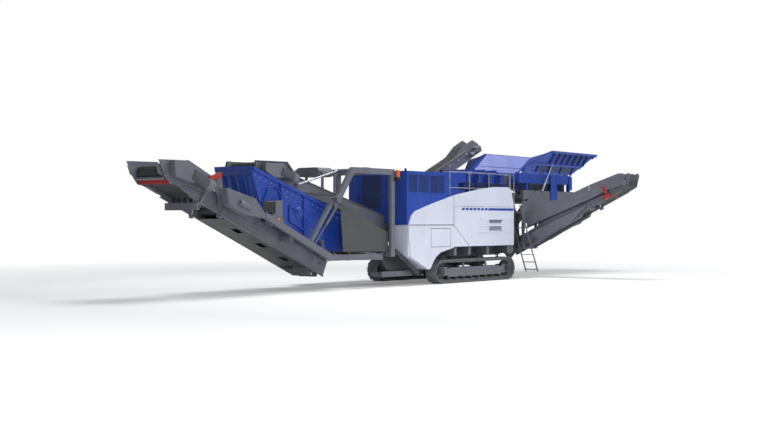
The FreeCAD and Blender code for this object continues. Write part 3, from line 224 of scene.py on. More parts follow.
blueEnamel = machineEnamel("blue_two_pack_enamel_sprayed", "#2549AA", "#21429C", rough=0.30, dust=0.16)
# painted light: a pale copy of the blue enamel, standing in for light on the hopper's inner faces
litBlueEnamel = machineEnamel("blue_enamel_painted_light_in_hopper", "#98A2DE", "#8C97D6", rough=0.45, dust=0.5)
# painted shade: a darker copy of the blue enamel, standing in for shade on grilles, recesses and plates
# turned from the lamps
shadeBlueEnamel = machineEnamel("blue_enamel_painted_shade", "#1C3670", "#182E62", rough=0.28, dust=0.08)
whiteEnamel = machineEnamel("white_powder_coat_on_sheet", "#DDE1F0", "#D4D9EA", rough=0.30, dust=0.05,
                            edge="#C4C8D2",
                            wear=0.25)
greyEnamel = machineEnamel("grey_two_pack_enamel_sprayed", "#6C6F7A", "#646772", rough=0.42, dust=0.3)
darkEnamel = machineEnamel("dark_grey_enamel_sprayed", "#34363B", "#2C2E33", rough=0.5, dust=0.2)
redEnamel = machineEnamel("red_enamel_sprayed", "#B8352C", "#A52E27", rough=0.35, dust=0.1)
crawlerSteel = rolledSteel("manganese_steel_cast_worn", "#808288", "#756C64", "#BDBDC0")
bareSteel = rolledSteel("rolled_steel_worn_bright", "#74746F", "#6A5A4B", "#B9B9B6", 0.2, 0.9)
galvanised = zincSteel("steel_hot_dip_galvanised", "#B4B8BE", "#9BA0A8")
beltRubber = mouldedRubber("belt_rubber_vulcanised", "#25262A", "#5A5A58")
guardEnamel = machineEnamel("dark_green_grey_enamel_sprayed", "#4A4E4E", "#434747", rough=0.45, dust=0.12)
blackRubber = mouldedRubber("rubber_moulded_black", "#1B1C1E", "#3C3D3E", 0.3)
amberLens = clearLens("polycarbonate_moulded_amber", "#E8571C", "#F2842F")

nodeFinish = [
    # start of the node's name, material
    ("track_", crawlerSteel), ("track_frame", greyEnamel), ("running_gear", darkEnamel),
    # the cooling grilles take the shaded blue: painted shade behind the grille bars
    ("main_frame", greyEnamel), ("power_pack_housing", blueEnamel), ("cooling_grilles", shadeBlueEnamel),
    ("engine_block", darkEnamel), ("bonnet_panel", whiteEnamel), ("apron_panel", whiteEnamel),
    ("hatch_door", whiteEnamel), ("service_flap", whiteEnamel), ("panel_posts", greyEnamel),
    ("tank", whiteEnamel), ("crusher_housing", blueEnamel), ("crusher_drive", blueEnamel),
    ("walkway", greyEnamel), ("railing", galvanised), ("ladder", greyEnamel), ("feeder", greyEnamel),
    ("hopper_frame", blueEnamel), ("hopper_wall", blueEnamel), ("hopper_hinges", greyEnamel),
    ("main_", greyEnamel), ("main_frame", greyEnamel), ("fines_", greyEnamel), ("return_", greyEnamel),
    ("side_", greyEnamel), ("side_guard", guardEnamel), ("magnet", greyEnamel), ("screen_box", blueEnamel),
    ("screen_decks", bareSteel),
    ("screen_s", greyEnamel), ("portal_frame", greyEnamel), ("tie_rods", galvanised),
    ("cross_", greyEnamel), ("beacon", amberLens),
]


def finishNodes():
    for name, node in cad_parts.items():
        fits = [(len(start), material) for start, material in nodeFinish if name.startswith(start)]
        material = beltRubber if name.endswith("belt") else max(fits, key=lambda fit: fit[0])[1]
        slots = node.data.materials
        if len(slots) == 0:
            slots.append(material)
        for number in range(len(slots)):
            slots[number] = material
        for slot in node.material_slots:
            slot.material = material


finishNodes()
print("CAD nodes finished")


# ---- surfaces from arrays ----

def ringFaces(rings, sides):
    # quads between rings of points numbered ring by ring, and a flat cap on each end
    first = np.arange(rings - 1)[:, None] * sides + np.arange(sides)
    second = np.arange(rings - 1)[:, None] * sides + (np.arange(sides) + 1) % sides
    quads = np.stack([first, second, second + sides, first + sides], -1).reshape(-1, 4)
    return [quads, np.arange(sides)[::-1][None], (np.arange(sides) + (rings - 1) * sides)[None]]


def unit(vector):
    vector = np.asarray(vector, dtype=float)
    return vector / np.linalg.norm(vector, axis=-1, keepdims=True)


def turned(profile, start, way, sides=16):
    # start + way * distance + radius * (cos t * side + sin t * up), profile rows are (distance, radius)
    profile = np.asarray(profile, dtype=float)
    way = unit(way)
    side = unit(np.cross(way, (0, 0, 1) if abs(way[2]) < 0.9 else (1, 0, 0)))
    up = np.cross(way, side)
    turn = np.arange(sides) * 2 * np.pi / sides
    circle = np.cos(turn)[:, None] * side + np.sin(turn)[:, None] * up
    points = np.asarray(start) + profile[:, :1, None] * way + profile[:, 1:, None] * circle[None]
    return points.reshape(-1, 3), ringFaces(len(profile), sides)


def studs(places, way, profile, sides=6):
    # the same small turned form at every place
    points, faces = turned(profile, (0, 0, 0), way, sides)
    places = np.asarray(places, dtype=float).reshape(-1, 3)
    shift = np.arange(len(places)) * len(points)
    every = (places[:, None] + points[None]).reshape(-1, 3)
    return every, [(group[None] + shift[:, None, None]).reshape(-1, group.shape[1]) for group in faces]


unitCorners = np.array([(0, 0, 0), (1, 0, 0), (1, 1, 0), (0, 1, 0), (0, 0, 1), (1, 0, 1), (1, 1, 1),
                        (0, 1, 1)])
unitFaces = np.array([(0, 3, 2, 1), (4, 5, 6, 7), (0, 1, 5, 4), (1, 2, 6, 5), (2, 3, 7, 6), (3, 0, 4, 7)])


def boxes(rows):
    # low + corner * (high - low); a row is x, x, y, y, z, z
    rows = np.asarray(rows, dtype=float).reshape(-1, 6)
    low, high = rows[:, ::2], rows[:, 1::2]
    points = low[:, None] + (high - low)[:, None] * unitCorners
    faces = unitFaces[None] + (np.arange(len(rows)) * 8)[:, None, None]
    return points.reshape(-1, 3), [faces.reshape(-1, 4)]


def plate(outline, plane, low, high):
    # a flat outline carried straight from low to high along the third direction
    outline = np.asarray(outline, dtype=float)
    first, second, third = {"xz": (0, 2, 1), "yz": (1, 2, 0), "xy": (0, 1, 2)}[plane]
    following = np.roll(outline, -1, axis=0)
    area = np.sum(outline[:, 0] * following[:, 1] - following[:, 0] * outline[:, 1])
    if (area > 0) == (plane == "xz"):
        outline = outline[::-1]
    points = np.zeros((2, len(outline), 3))
    points[:, :, first], points[:, :, second] = outline[:, 0], outline[:, 1]
    points[0, :, third], points[1, :, third] = min(low, high), max(low, high)
    return points.reshape(-1, 3), ringFaces(2, len(outline))


def tube(path, radius, sides=10, reference=(0, 0, 1)):
    # a round section carried along a path: centre + radius * (cos t * side + sin t * up)
    path = np.asarray(path, dtype=float)
    way = unit(np.gradient(path, axis=0))
    side = unit(np.cross(way, reference))
    up = np.cross(way, side)
    turn = np.arange(sides) * 2 * np.pi / sides
    points = (path[:, None] + radius * np.cos(turn)[None, :, None] * side[:, None]
              + radius * np.sin(turn)[None, :, None] * up[:, None])
    return points.reshape(-1, 3), ringFaces(len(path), sides)


def coil(start, long, radius, wire, turns):
    # helix on an upright axis: start + (radius cos a, radius sin a, long a / end)
    turn = np.linspace(0, 2 * np.pi * turns, int(turns * 14) + 1)
    path = np.stack([radius * np.cos(turn), radius * np.sin(turn), long * turn / turn[-1]], -1)
    return tube(np.asarray(start) + path, wire, 6)


def merged(parts):
    points, faces, start = [], [], 0
    for partPoints, partFaces in parts:
        points.append(partPoints)
        faces += [group + start for group in partFaces]
        start += len(partPoints)
    return np.concatenate(points), faces


def carriedTo(part, tail, head):
    # from a conveyor's own directions (along, across, up) to the machine's
    points, faces = part
    tail = np.asarray(tail, dtype=float)
    way = unit(np.asarray(head, dtype=float) - tail)
    across = unit(np.cross((0, 0, 1), way))
    up = np.cross(way, across)
    return tail + points[:, :1] * way + points[:, 1:2] * across + points[:, 2:] * up, faces


def mirroredPart(part):
    # to the far side: y turned round, and the faces with it
    points, faces = part
    return points * (1, -1, 1), [group[:, ::-1] for group in faces]


def makePiece(name, part, material, body="machine", bevel=0.0, smooth=False):
    points, faces = part
    mesh = bpy.data.meshes.new(name)
    mesh.from_pydata(toRow(points).tolist(), [], [row for group in faces for row in group.tolist()])
    mesh.materials.append(material)
    if smooth:
        mesh.shade_smooth()
        mesh.set_sharp_from_angle(angle=math.radians(38))
    piece = bpy.data.objects.new(name, mesh)
    bpy.context.scene.collection.objects.link(piece)
    if bevel:
        rounding = piece.modifiers.new("edges", "BEVEL")
        rounding.width = bevel / 1000.0
        rounding.segments = 2
        rounding.limit_method = "ANGLE"
    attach(piece, body)
    return piece


def lineOf(start, end, pitch):
    # evenly spread places from start to end
    start, end = np.asarray(start, dtype=float), np.asarray(end, dtype=float)
    count = max(2, int(np.linalg.norm(end - start) / pitch) + 1)
    return start + (end - start) * np.linspace(0, 1, count)[:, None]


def alongLine(corners, pitch):
    return np.concatenate([lineOf(a, b, pitch)[:-1] for a,
                           b in zip(corners[:-1], corners[1:])] + [[corners[-1]]])


# a hexagon nut on its washer, a small screw head: distance out, radius
nut = [(-2, 22), (4, 22), (4, 15), (16, 15), (18, 12), (24, 8)]
screw = [(-1, 11), (5, 11), (8, 7)]


# ---- crawler ----

crawler = {
    "middle": 1316.5, "axleX": 2056.5, "axleZ": 422.5, "pinRadius": 332.0, "pins": 52, "linkHalf": 75.0,
    "hubFace": 190.0, "hubBolts": 10, "toothCount": 21, "toothFoot": 268.0, "toothTip": 306.0,
}


def loopPlaces(radius, count, axleX, axleZ):
    # points along a loop of two straights and two half circles, by their run
    straight, arc = 2 * axleX, np.pi * radius
    run = (np.arange(count) + 0.13) / count * 2 * (straight + arc)
    top = run < straight
    rear = ~top & (run < straight + arc)
    low = ~top & ~rear & (run < 2 * straight + arc)
    turn = np.where(rear, (run - straight) / radius, (run - 2 * straight - arc) / radius)
    x = np.select([top, rear, low],
                  [run - axleX, axleX + radius * np.sin(turn), axleX - (run - straight - arc)],
                  -axleX - radius * np.sin(turn))
    z = np.select([top, rear, low], [axleZ + radius, axleZ + radius * np.cos(turn), axleZ - radius],
                  axleZ - radius * np.cos(turn))
    return x, z


def shoeGapShades():
    # painted shade: dark bars across the loop on its outer side, standing in for the shade in the gaps
    # between the shoes
    c = crawler
    points = np.stack(loopPlaces(c["pinRadius"], c["pins"], c["axleX"], c["axleZ"]), -1)
    nearest = np.stack([np.clip(points[:, 0], -c["axleX"], c["axleX"]), np.full(len(points), c["axleZ"])], -1)
    out = unit(points - nearest)
    across = np.stack([-out[:, 1], out[:, 0]], -1) * 9
    return merged([plate([p + o * 38 - a, p + o * 86 - a, p + o * 86 + a, p + o * 38 + a], "xz", -1558.5,
                         -1555)
                   for p, o, a in zip(points, out, across)])


def makeCrawlerDetails():
    c = crawler
    x, z = loopPlaces(c["pinRadius"], c["pins"], c["axleX"], c["axleZ"])
    pin = [(-2, 24), (14, 24), (18, 20), (18, 12), (12, 12)]
    pins, hubs, teeth = [], [], []
    for sign in (-1, 1):
        y = -c["middle"] + sign * c["linkHalf"]
        pins.append(studs(np.stack([x, np.full_like(x, y), z], -1), (0, sign, 0), pin, 10))
    face = -c["middle"] - c["hubFace"]
    for side in (-1, 1):
        centre = np.array([side * c["axleX"], face, c["axleZ"]])
        hubs.append(turned([(-8, 150), (2, 150), (6, 140), (6, 96), (16, 90), (16, 40), (22, 34)], centre,
                           (0, -1, 0), 32))
        turn = np.arange(c["hubBolts"]) * 2 * np.pi / c["hubBolts"]
        ring = centre + np.stack([118 * np.cos(turn), 0 * turn - 5, 118 * np.sin(turn)], -1)
        hubs.append(studs(ring, (0, -1, 0), screw))
    turn = np.arange(c["toothCount"]) * 2 * np.pi / c["toothCount"]
    for y in (-c["middle"] - 62, -c["middle"] + 46):
        for angle in turn:
            way = np.array([np.cos(angle), np.sin(angle)])
            across = np.array([-way[1], way[0]])
            outline = np.array([way * c["toothFoot"] - across * 34, way * c["toothTip"] - across * 12,
                                way * c["toothTip"] + across * 12, way * c["toothFoot"] + across * 34])
            teeth.append(plate(outline + (-c["axleX"], c["axleZ"]), "xz", y, y + 16))
    # painted shade in the gaps between the shoes
    gaps = shoeGapShades()
    makePiece("shoe_gap_shades_near", gaps, darkEnamel)
    makePiece("shoe_gap_shades_far", mirroredPart(gaps), darkEnamel)
    near = {"chain_pins": merged(pins), "track_hubs": merged(hubs), "sprocket_teeth": merged(teeth)}
    for name, part in near.items():
        material = crawlerSteel if name != "track_hubs" else darkEnamel
        makePiece(name + "_near", part, material)
        makePiece(name + "_far", mirroredPart(part), material)


makeCrawlerDetails()
print("crawler details made")


# ---- housing and panels ----

housing = {
    "near": -1550.0, "panel": -1590.0, "front": -4100.0, "far": 1000.0, "roof": 3840.0,
    "bays": [(-4020.0, -3510.0), (-3450.0, -2900.0), (-2840.0, -1990.0)],
    "bandLow": 3110.0, "bandHigh": 3740.0, "frontHalf": 420.0, "grilleLow": 2600.0, "grilleHigh": 3700.0,
    "stripe": (2552.0, 2640.0), "dashes": 7, "dashFrom": -1040.0, "solidFrom": 620.0, "solidTo": 2310.0,
}


def makeMeshPanels():
    # fine wire mesh behind a thin frame, set back in each opening; the mesh is a solid sheet in the shaded
    # blue, painted shade of the dark space behind it
    h = housing
    sheets, frames = [], []
    for low, high in h["bays"]:
        sheets.append([low + 2, high - 2, h["near"] + 2, h["near"] + 5, h["bandLow"] + 2, h["bandHigh"] - 2])
        middle = (low + high) / 2
        for x in (low + 2, middle - 9, high - 20):
            frames.append([x, x + 18, h["near"] - 1, h["near"] + 2.5, h["bandLow"] + 2, h["bandHigh"] - 2])
        for z in (h["bandLow"] + 2, h["bandHigh"] - 20):
            frames.append([low + 2, high - 2, h["near"] - 0.5, h["near"] + 2.5, z, z + 18])
    sheets.append([h["front"] + 2, h["front"] + 5, -h["frontHalf"] + 2, h["frontHalf"] - 2,
                   h["grilleLow"] + 2, h["grilleHigh"] - 2])
    makePiece("mesh_panels", boxes(sheets), shadeBlueEnamel)
    makePiece("mesh_frames", boxes(frames), blueEnamel)


def makeStripe():
    # a thin band of blue film on the white flap, slanted dashes first
    h = housing
    low, high = h["stripe"]
    face = h["panel"]
    slant = (high - low) * 0.7
    pitch = (h["solidFrom"] - h["dashFrom"]) / h["dashes"]
    strips = [plate([(x, low), (x + pitch - 60, low), (x + pitch - 60 + slant, high), (x + slant, high)],
                    "xz",
                    face - 1.2, face) for x in h["dashFrom"] + np.arange(h["dashes"]) * pitch]
    strips.append(plate([(h["solidFrom"], low), (h["solidTo"], low), (h["solidTo"], high),
                         (h["solidFrom"] + slant, high)], "xz", face - 1.2, face))
    makePiece("flap_stripe", merged(strips), blueEnamel, "flap")


def makePanelFittings():
    h = housing
    face = h["panel"]
    # screws round the bonnet and the apron
    bonnet = np.array([(-3880, face, 2310), (-3650, face, 2465), (-2690, face, 2732), (-1530, face, 3010),
                       (-1220, face, 3070), (190, face, 3290), (950, face, 3370), (1900, face, 3390)])
    makePiece("bonnet_screws", studs(alongLine(bonnet, 330), (0, -1, 0), screw, 8), galvanised)
    low = alongLine(np.array([(-3990, face, 1900), (-3990, face, 2000), (-1560, face, 2000)]), 400)
    makePiece("apron_screws", studs(low, (0, -1, 0), screw, 8), galvanised)
    # doors of the housing: raised sheets with hinges above the bonnet's edge
    doors = [plate([(-3960, 2460), (-3560, 2680), (-3560, 3060), (-3960, 3060)], "xz", face + 34, face + 40),
             plate([(-3500, 2700), (-2800, 2890), (-2800, 3060), (-3500, 3060)], "xz", face + 34, face + 40)]
    makePiece("housing_doors", merged(doors), blueEnamel, bevel=2)
    front = [[h["front"] - 6, h["front"], -1480, -480, 2120, 3760],
             [h["front"] - 6, h["front"], 480, 960, 2480, 3760]]
    makePiece("front_doors", boxes(front), blueEnamel, bevel=3)
    far = [[x, x + 740, h["far"], h["far"] + 6, 2480, 3740] for x in (-4040, -3260, -2480)]
    makePiece("far_doors", boxes(far), blueEnamel, bevel=3)
    grips = [[h["front"] - 26, h["front"] - 6, -560, -530, 2900, 3060],
             [h["front"] - 26, h["front"] - 6, 520, 550, 2900, 3060]]
    grips += [[x, x + 160, h["far"] + 6, h["far"] + 26, 2980, 3010] for x in (-3560, -2780, -2000)]
    makePiece("door_grips", boxes(grips), darkEnamel, bevel=4)


def makeDeckGrating():
    # bearing bars of the deck's grating and its toe board
    bars = [(x, x + 8, -1490, -890, 2778, 2790) for x in np.arange(-1600, 2480, 68.0)]
    bars += [(-1610, 2480, y, y + 5, 2776, 2784) for y in np.arange(-1480, -890, 98.0)]
    makePiece("deck_grating", boxes(bars), galvanised)
    makePiece("deck_toe_board", boxes([(-1615, 2480, -1500, -1494, 2740, 2860)]), greyEnamel, bevel=2)


def makeBeacon():
    # a flashing lamp: foot, ribbed lens with a domed top, on its bracket beside the portal's post
    start = (-4520.0, -1505.0, 3555.0)
    foot = turned([(0, 82), (40, 82), (52, 76), (66, 76)], start, (0, 0, 1), 28)
    bracket = boxes([(-4600, -4440, -1590, -1412, 3541, 3555), (-4600, -4586, -1590, -1412, 3470, 3541)])
    rows = [(60, 66)] + [(70 + 12 * k, 72 - 3 * (k % 2)) for k in range(17)]
    rows += [(280, 66), (296, 48), (304, 20)]
    lens = turned(rows, start, (0, 0, 1), 28)
    body = makePiece("beacon_foot", merged([foot, bracket]), darkEnamel, bevel=3)
    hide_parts("beacon")
    makePiece("beacon_lens", lens, amberLens, smooth=True)


def makeRoof():
    # air cleaner cap, exhaust stub and lifting eyes
    top = housing["roof"]
    cap = turned([(-2, 190), (60, 190), (70, 205), (150, 205), (175, 180), (190, 60)], (-3700, 600, top),
                 (0, 0, 1), 32)
    makePiece("air_cleaner_cap", cap, darkEnamel, smooth=True)
    pipe = turned([(-2, 80), (120, 80), (120, 66), (40, 66)], (-2120, 620, top), (0, 0, 1), 24)
    makePiece("exhaust_stub", pipe, darkEnamel, smooth=True)
    eyes = [turned([(-14, 46), (-14, 26), (14, 26), (14, 46)], (x, y, top + 44), (0, 1, 0), 20)
            for x in (-3980, -2000) for y in (-1400, 860)]
    makePiece("lifting_eyes", merged(eyes), darkEnamel, smooth=True)


makeMeshPanels()
makeStripe()
makePanelFittings()
makeRoof()
makeDeckGrating()
makeBeacon()
print("housing details made")


def bar(start, end, wide, y0, y1):
    # a flat bar between two points (x, z), from y0 to y1
    start, end = np.asarray(start, dtype=float), np.asarray(end, dtype=float)
    way = unit(end - start)
    across = np.array([-way[1], way[0]]) * wide / 2
    return plate([start - across, end - across, end + across, start + across], "xz", y0, y1)


def finnedMotor(start, end, radius):
    # an electric motor: cooling fins round the body, a smooth fan cover at the far end
    start, end = np.asarray(start, dtype=float), np.asarray(end, dtype=float)
    long = np.linalg.norm(end - start)
    rows = [(0, radius * 0.55), (0, radius * 0.9)]
    for place in np.arange(20, long * 0.62, 30):
        rows += [(place, radius * 0.9), (place, radius), (place + 10, radius), (place + 10, radius * 0.9)]
    rows += [(long * 0.66, radius * 0.9), (long * 0.66, radius), (long - 50, radius),
             (long - 20, radius * 0.9),
             (long, radius * 0.62)]
    return turned(rows, start, end - start, 28)


# ---- fines conveyor: head, scraper, buffers, tail guard ----

fines = {
    "headX": -13280.0, "gear": (-930.0, -690.0), "plate": (678.0, 690.0), "half": 603.0,
    "plateEdge": [(-13850, 3835), (-12770, 3850), (-11900, 3430), (-11900, 3000), (-12050, 2900),
                  (-12730, 3120),
                  (-13130, 3130), (-13470, 3190), (-13640, 3410)],
    "lever": [(-11490, 2590), (-11690, 2520), (-11740, 2900), (-11900, 3130), (-12080, 3260), (-12040, 3420),
              (-11670, 3550), (-11580, 3410), (-11490, 2940)],
    "bar": (-12440.0, 2470.0, 2680.0), "floorFrom": -8000.0, "floorTo": -11300.0,
    "slots": (-8500, -9500, -10500),
}


def finesFloor(x):
    # lower edge of the sides: 475 at x -7350, rising 0.443 with distance
    return 477 + 0.443 * (-7350 - x)


def makeFinesDetails():
    f = fines
    x = f["headX"]
    gear = plate([(x - 210, 3810), (x + 310, 3840), (x + 510, 3600), (x + 510, 3210), (x - 160, 3380)], "xz",
                 *f["gear"])
    makePiece("fines_gear_unit", gear, greyEnamel, "fines_tip", bevel=12)
    motor = finnedMotor((x + 480, -853, 3430), (x + 1240, -853, 3120), 178)
    makePiece("fines_motor", motor, greyEnamel, "fines_tip", smooth=True)
    low, high = f["plate"]
    sides = [plate(f["plateEdge"], "xz", *sorted((sign * low, sign * high))) for sign in (-1, 1)]
    makePiece("fines_head_plates", merged(sides), greyEnamel, "fines_tip", bevel=3)
    edge = np.array(f["plateEdge"], dtype=float)
    inner = edge.mean(axis=0) + (edge - edge.mean(axis=0)) * (0.93, 0.82)
    corners = np.stack([inner[:, 0], np.full(len(inner), -high), inner[:, 1]], -1)
    rows = alongLine(np.concatenate([corners, corners[:1]]), 240)
    makePiece("fines_plate_nuts", studs(rows, (0, -1, 0), nut), galvanised, "fines_tip")
    lever = [plate(f["lever"], "xz", -712, -693)]
    lever += [turned([(-4, 60), (8, 60), (14, 44), (14, 30), (26, 26)], (px, -712, pz), (0, -1, 0), 20)
              for px, pz in ((-11600, 2700), (-11620, 3120), (-11760, 3320))]
    makePiece("fines_lever", merged(lever), greyEnamel, "fines_tip", bevel=3)
    handle = plate([(-12080, 3300), (-12080, 3420), (-11690, 3560), (-11640, 3500), (-11640, 3400)], "xz",
                   -800, -716)
    makePiece("fines_lever_head", handle, redEnamel, "fines_tip", bevel=10)
    scraper = boxes([(-13440, -13410, -600, 600, 3185, 3306), (-13470, -13380, -600, -560, 3165, 3312),
                     (-13470, -13380, 560, 600, 3165, 3312), (-13455, -13400, -600, 600, 3296, 3312)])
    makePiece("fines_scraper", scraper, redEnamel, "fines_tip", bevel=4)
    tips = boxes([(-13432, -13418, y, y + 160, 3310, 3322) for y in np.arange(-590, 560, 170)])
    makePiece("scraper_tips", tips, blackRubber, "fines_tip", bevel=2)
    x, low, high = f["bar"]
    hangers = [bar((x + 20, low + 60), (x + 330, low + 560), 80, *sorted((sign * 674, sign * 686)))
               for sign in (-1, 1)]
    hangers.append(boxes([(x - 50, x + 50, -686, 686, low, high), (x - 58, x + 58, -686, 686, low, low + 10),
                          (x - 58, x + 58, -686, 686, high - 10, high)]))
    makePiece("fines_cross_bar", merged(hangers), greyEnamel, "fines_tip", bevel=4)
    block = [(0, 62), (18, 62), (18, 48), (34, 48), (52, 58), (72, 50), (92, 58), (112, 50), (132, 58),
             (150, 30)]
    buffers = studs([(x, y, high) for y in (-370, -120, 120, 370)], (0, 0, 1), block, 20)
    makePiece("fines_buffers", buffers, blackRubber, "fines_tip", smooth=True)


def makeFinesFloor():
    # closing sheets under the belt, cut by three slots on one side, and the lip along both sides; the sheets
    # are dark enamel, painted shade of the conveyor's underside
    f = fines
    parts = []
    stops = [f["floorFrom"]]
    for slot in f["slots"]:
        stops += [slot + 150, slot - 150]
    stops.append(f["floorTo"])
    for number, (start, end) in enumerate(zip(stops[:-1], stops[1:])):
        outline = [(start, finesFloor(start)), (end, finesFloor(end)), (end, finesFloor(end) + 8),
                   (start, finesFloor(start) + 8)]
        spans = [(-600, 600)] if number % 2 == 0 else [(-600, -330), (-60, 600)]
        parts += [plate(outline, "xz", *span) for span in spans]
    makePiece("fines_floor", merged(parts), darkEnamel)
    front = [(-360, 560), (-270, 430), (270, 430), (360, 560), (360, 720), (250, 800), (-250, 800),
             (-360, 720)]
    rear = [(-360, 715), (-300, 702), (300, 702), (360, 715), (360, 736), (280, 745), (-280, 745),
            (-360, 736)]
    points = np.array([(-7560, y, z) for y, z in front] + [(-6960, y, z) for y, z in rear], dtype=float)
    makePiece("fines_tail_guard", (points, ringFaces(2, 8)), greyEnamel, bevel=14)
    rows = [np.array([(px, sign * 613, finesFloor(px) + 330) for px in np.arange(-11000, -7500, 420.0)])
            for sign in (-1, 1)]
    heads = [studs(row, (0, sign, 0), [(-2, 46), (6, 46), (10, 30), (24, 26), (30, 12)], 16)
             for row, sign in zip(rows, (-1, 1))]
    makePiece("idler_caps", merged(heads), greyEnamel, smooth=True)


makeFinesDetails()
makeFinesFloor()
print("fines conveyor details made")


# ---- main conveyor head, return conveyor ----

mainHead = {
    "gearEdge": [(-9930, 3890), (-9180, 3890), (-9180, 3470), (-9560, 3470), (-9930, 3640)],
    "gear": (-840.0, -655.0),
}


def makeMainHead():
    m = mainHead
    makePiece("main_gear_unit", plate(m["gearEdge"], "xz", *m["gear"]), greyEnamel, bevel=14)
    makePiece("main_motor", finnedMotor((-9250, -795, 3650), (-8560, -795, 3450), 148), greyEnamel,
              smooth=True)
    scraper = boxes([(-10090, -10060, -560, 560, 3500, 3600), (-10110, -10040, -560, -530, 3480, 3610),
                     (-10110, -10040, 530, 560, 3480, 3610)])
    makePiece("main_scraper", scraper, redEnamel, bevel=4)
    corners = np.array([(-9180, -655, 3440), (-8700, -655, 3230), (-8110, -655, 2960), (-7500, -655, 2700)],
                       dtype=float)
    makePiece("main_side_nuts", studs(alongLine(corners, 235), (0, -1, 0), nut), galvanised)


def makeReturnHead():
    r = {"tail": (-5600.0, 1650.0, 800.0), "head": (3450.0, 1150.0, 5020.0), "half": 470.0, "long": 9997.0}
    unitBox = boxes([(r["long"] - 190, r["long"] + 90, -r["half"], -r["half"] + 90, -120, 120)])
    motor = finnedMotor((r["long"] - 200, -r["half"] + 20, 0), (r["long"] - 620, -r["half"] + 20, -20), 92)
    makePiece("return_gear_unit", carriedTo(unitBox, r["tail"], r["head"]), greyEnamel, "return_arm",
              bevel=10)
    caps = studs([(place, -r["half"] - 4, 120) for place in np.arange(700, 9300, 560.0)], (0, -1, 0),
                 [(-6, 40), (6, 40), (10, 26), (20, 22), (26, 10)], 14)
    makePiece("return_idler_caps", carriedTo(caps, r["tail"], r["head"]), galvanised, "return_arm",
              smooth=True)
    makePiece("return_motor", carriedTo(motor, r["tail"], r["head"]), greyEnamel, "return_arm", smooth=True)


makeMainHead()
makeReturnHead()
print("conveyor heads made")


# ---- screen ----

screen = {
    "wall": -785.0, "arch": [(-10020, 2800), (-9820, 3180), (-9500, 3230), (-9190, 2860)],
    "window": (-10010, -9690, 2400, 2730),
    "lampBox": [(-10070, 2350), (-9700, 2390), (-9700, 2770), (-9400, 2780), (-9400, 2320), (-9270, 1970),
                (-10000, 2250)],
    "tray": [(-11840, 3110), (-10700, 2810), (-10250, 2300), (-10290, 2235), (-11140, 2360), (-11740, 2630)],
}


def makeScreenDetails():
    s = screen
    wall = s["wall"]
    # nut rows as on the real wall: two along the upper edge, one round the opening, one low
    rows = [alongLine(np.array(line, dtype=float), pitch) for line, pitch in (
        ([(-10350, wall, 3520), (-6500, wall, 2190)], 230), ([(-10280, wall, 3330), (-6500, wall, 2020)],
                410),
        ([(-10200, wall, 3100), (-10060, wall, 2560), (-9640, wall, 2180)], 190),
        ([(-9560, wall, 2160), (-8600, wall, 1700), (-7700, wall, 1400)], 260),
        ([(-9050, wall, 2900), (-8860, wall, 2420)], 240), ([(-8050, wall, 2500), (-7900, wall, 1900)], 240))]
    rows = np.concatenate(rows)
    makePiece("screen_nuts_near", studs(rows, (0, -1, 0), nut), galvanised)
    makePiece("screen_nuts_far", studs(rows * (1, -1, 1), (0, 1, 0), nut), galvanised)
    outer = np.array(s["arch"], dtype=float)
    centre = outer.mean(axis=0)
    arch = []
    for a, b in zip(outer[:-1], outer[1:]):
        ia, ib = centre + (a - centre) * 0.86, centre + (b - centre) * 0.86
        arch.append(plate([a, b, ib, ia], "xz", wall - 60, wall))
    frame1 = [bar((-8900, 2180), (-8250, 1880), 60, wall - 50, wall),
              bar((-8900, 2640), (-8900, 2180), 60, wall - 50, wall),
              bar((-8250, 2340), (-8250, 1880), 60, wall - 50, wall),
              bar((-8900, 2640), (-8250, 2340), 60, wall - 50, wall)]
    both = merged(arch + frame1)
    makePiece("screen_ribs_near", both, blueEnamel, bevel=6)
    makePiece("screen_ribs_far", mirroredPart(both), blueEnamel, bevel=6)
    cover = turned([(-4, 190), (20, 190), (30, 176), (30, 120), (60, 110), (66, 60)], (-8460, wall, 2420),
                   (0, -1, 0), 36)
    makePiece("exciter_cover_near", cover, blueEnamel, smooth=True)
    makePiece("exciter_cover_far", mirroredPart(cover), blueEnamel, smooth=True)
    x0, x1, z0, z1 = s["window"]
    makePiece("screen_window", boxes([(x0, x1, -1000, -980, z0, z1)]), blackRubber, bevel=6)
    stand = merged([plate(s["lampBox"], "xz", -1010, wall - 12),
                    boxes([(x0 - 20, x1 + 20, -985, wall, z1, z1 + 30), (x0 - 20, x0, -985, wall, z0, z1)])])
    makePiece("screen_stand_box", stand, greyEnamel, bevel=8)
    lamp = turned([(-4, 52), (10, 52), (26, 46), (36, 28), (38, 6)], (-9580, -1010, 2210), (0, -1, 0), 24)
    makePiece("screen_lamp", lamp, amberLens, smooth=True)
    tray = merged([plate(s["tray"], "xz", -1210, -1195), plate(s["tray"], "xz", -945, -930),
                   bar((-11140, 2368), (-10290, 2243), 16, -1195, -945),
                   bar((-11740, 2630), (-11140, 2368), 16, -1195, -945),
                   bar((-11830, 3080), (-11740, 2630), 16, -1195, -945),
                   bar((-11500, 2960), (-10800, 2780), 16, -1195, -945)])
    makePiece("screen_tray", tray, greyEnamel, bevel=4)
    roll = turned([(0, 40), (0, 80), (12, 88), (420, 88), (432, 80), (432, 40)], (-11350, -1225, 2700),
                  (0.93, 0, -0.36), 24)
    makePiece("tray_motor", roll, greyEnamel, smooth=True)
    springs = [coil((x, sign * 940, z), 150, 62, 13, 4.5) for x,
               z in ((-9900, 2230), (-7600, 1430)) for sign in (-1, 1)]
    makePiece("screen_springs", merged(springs), bareSteel, smooth=True)


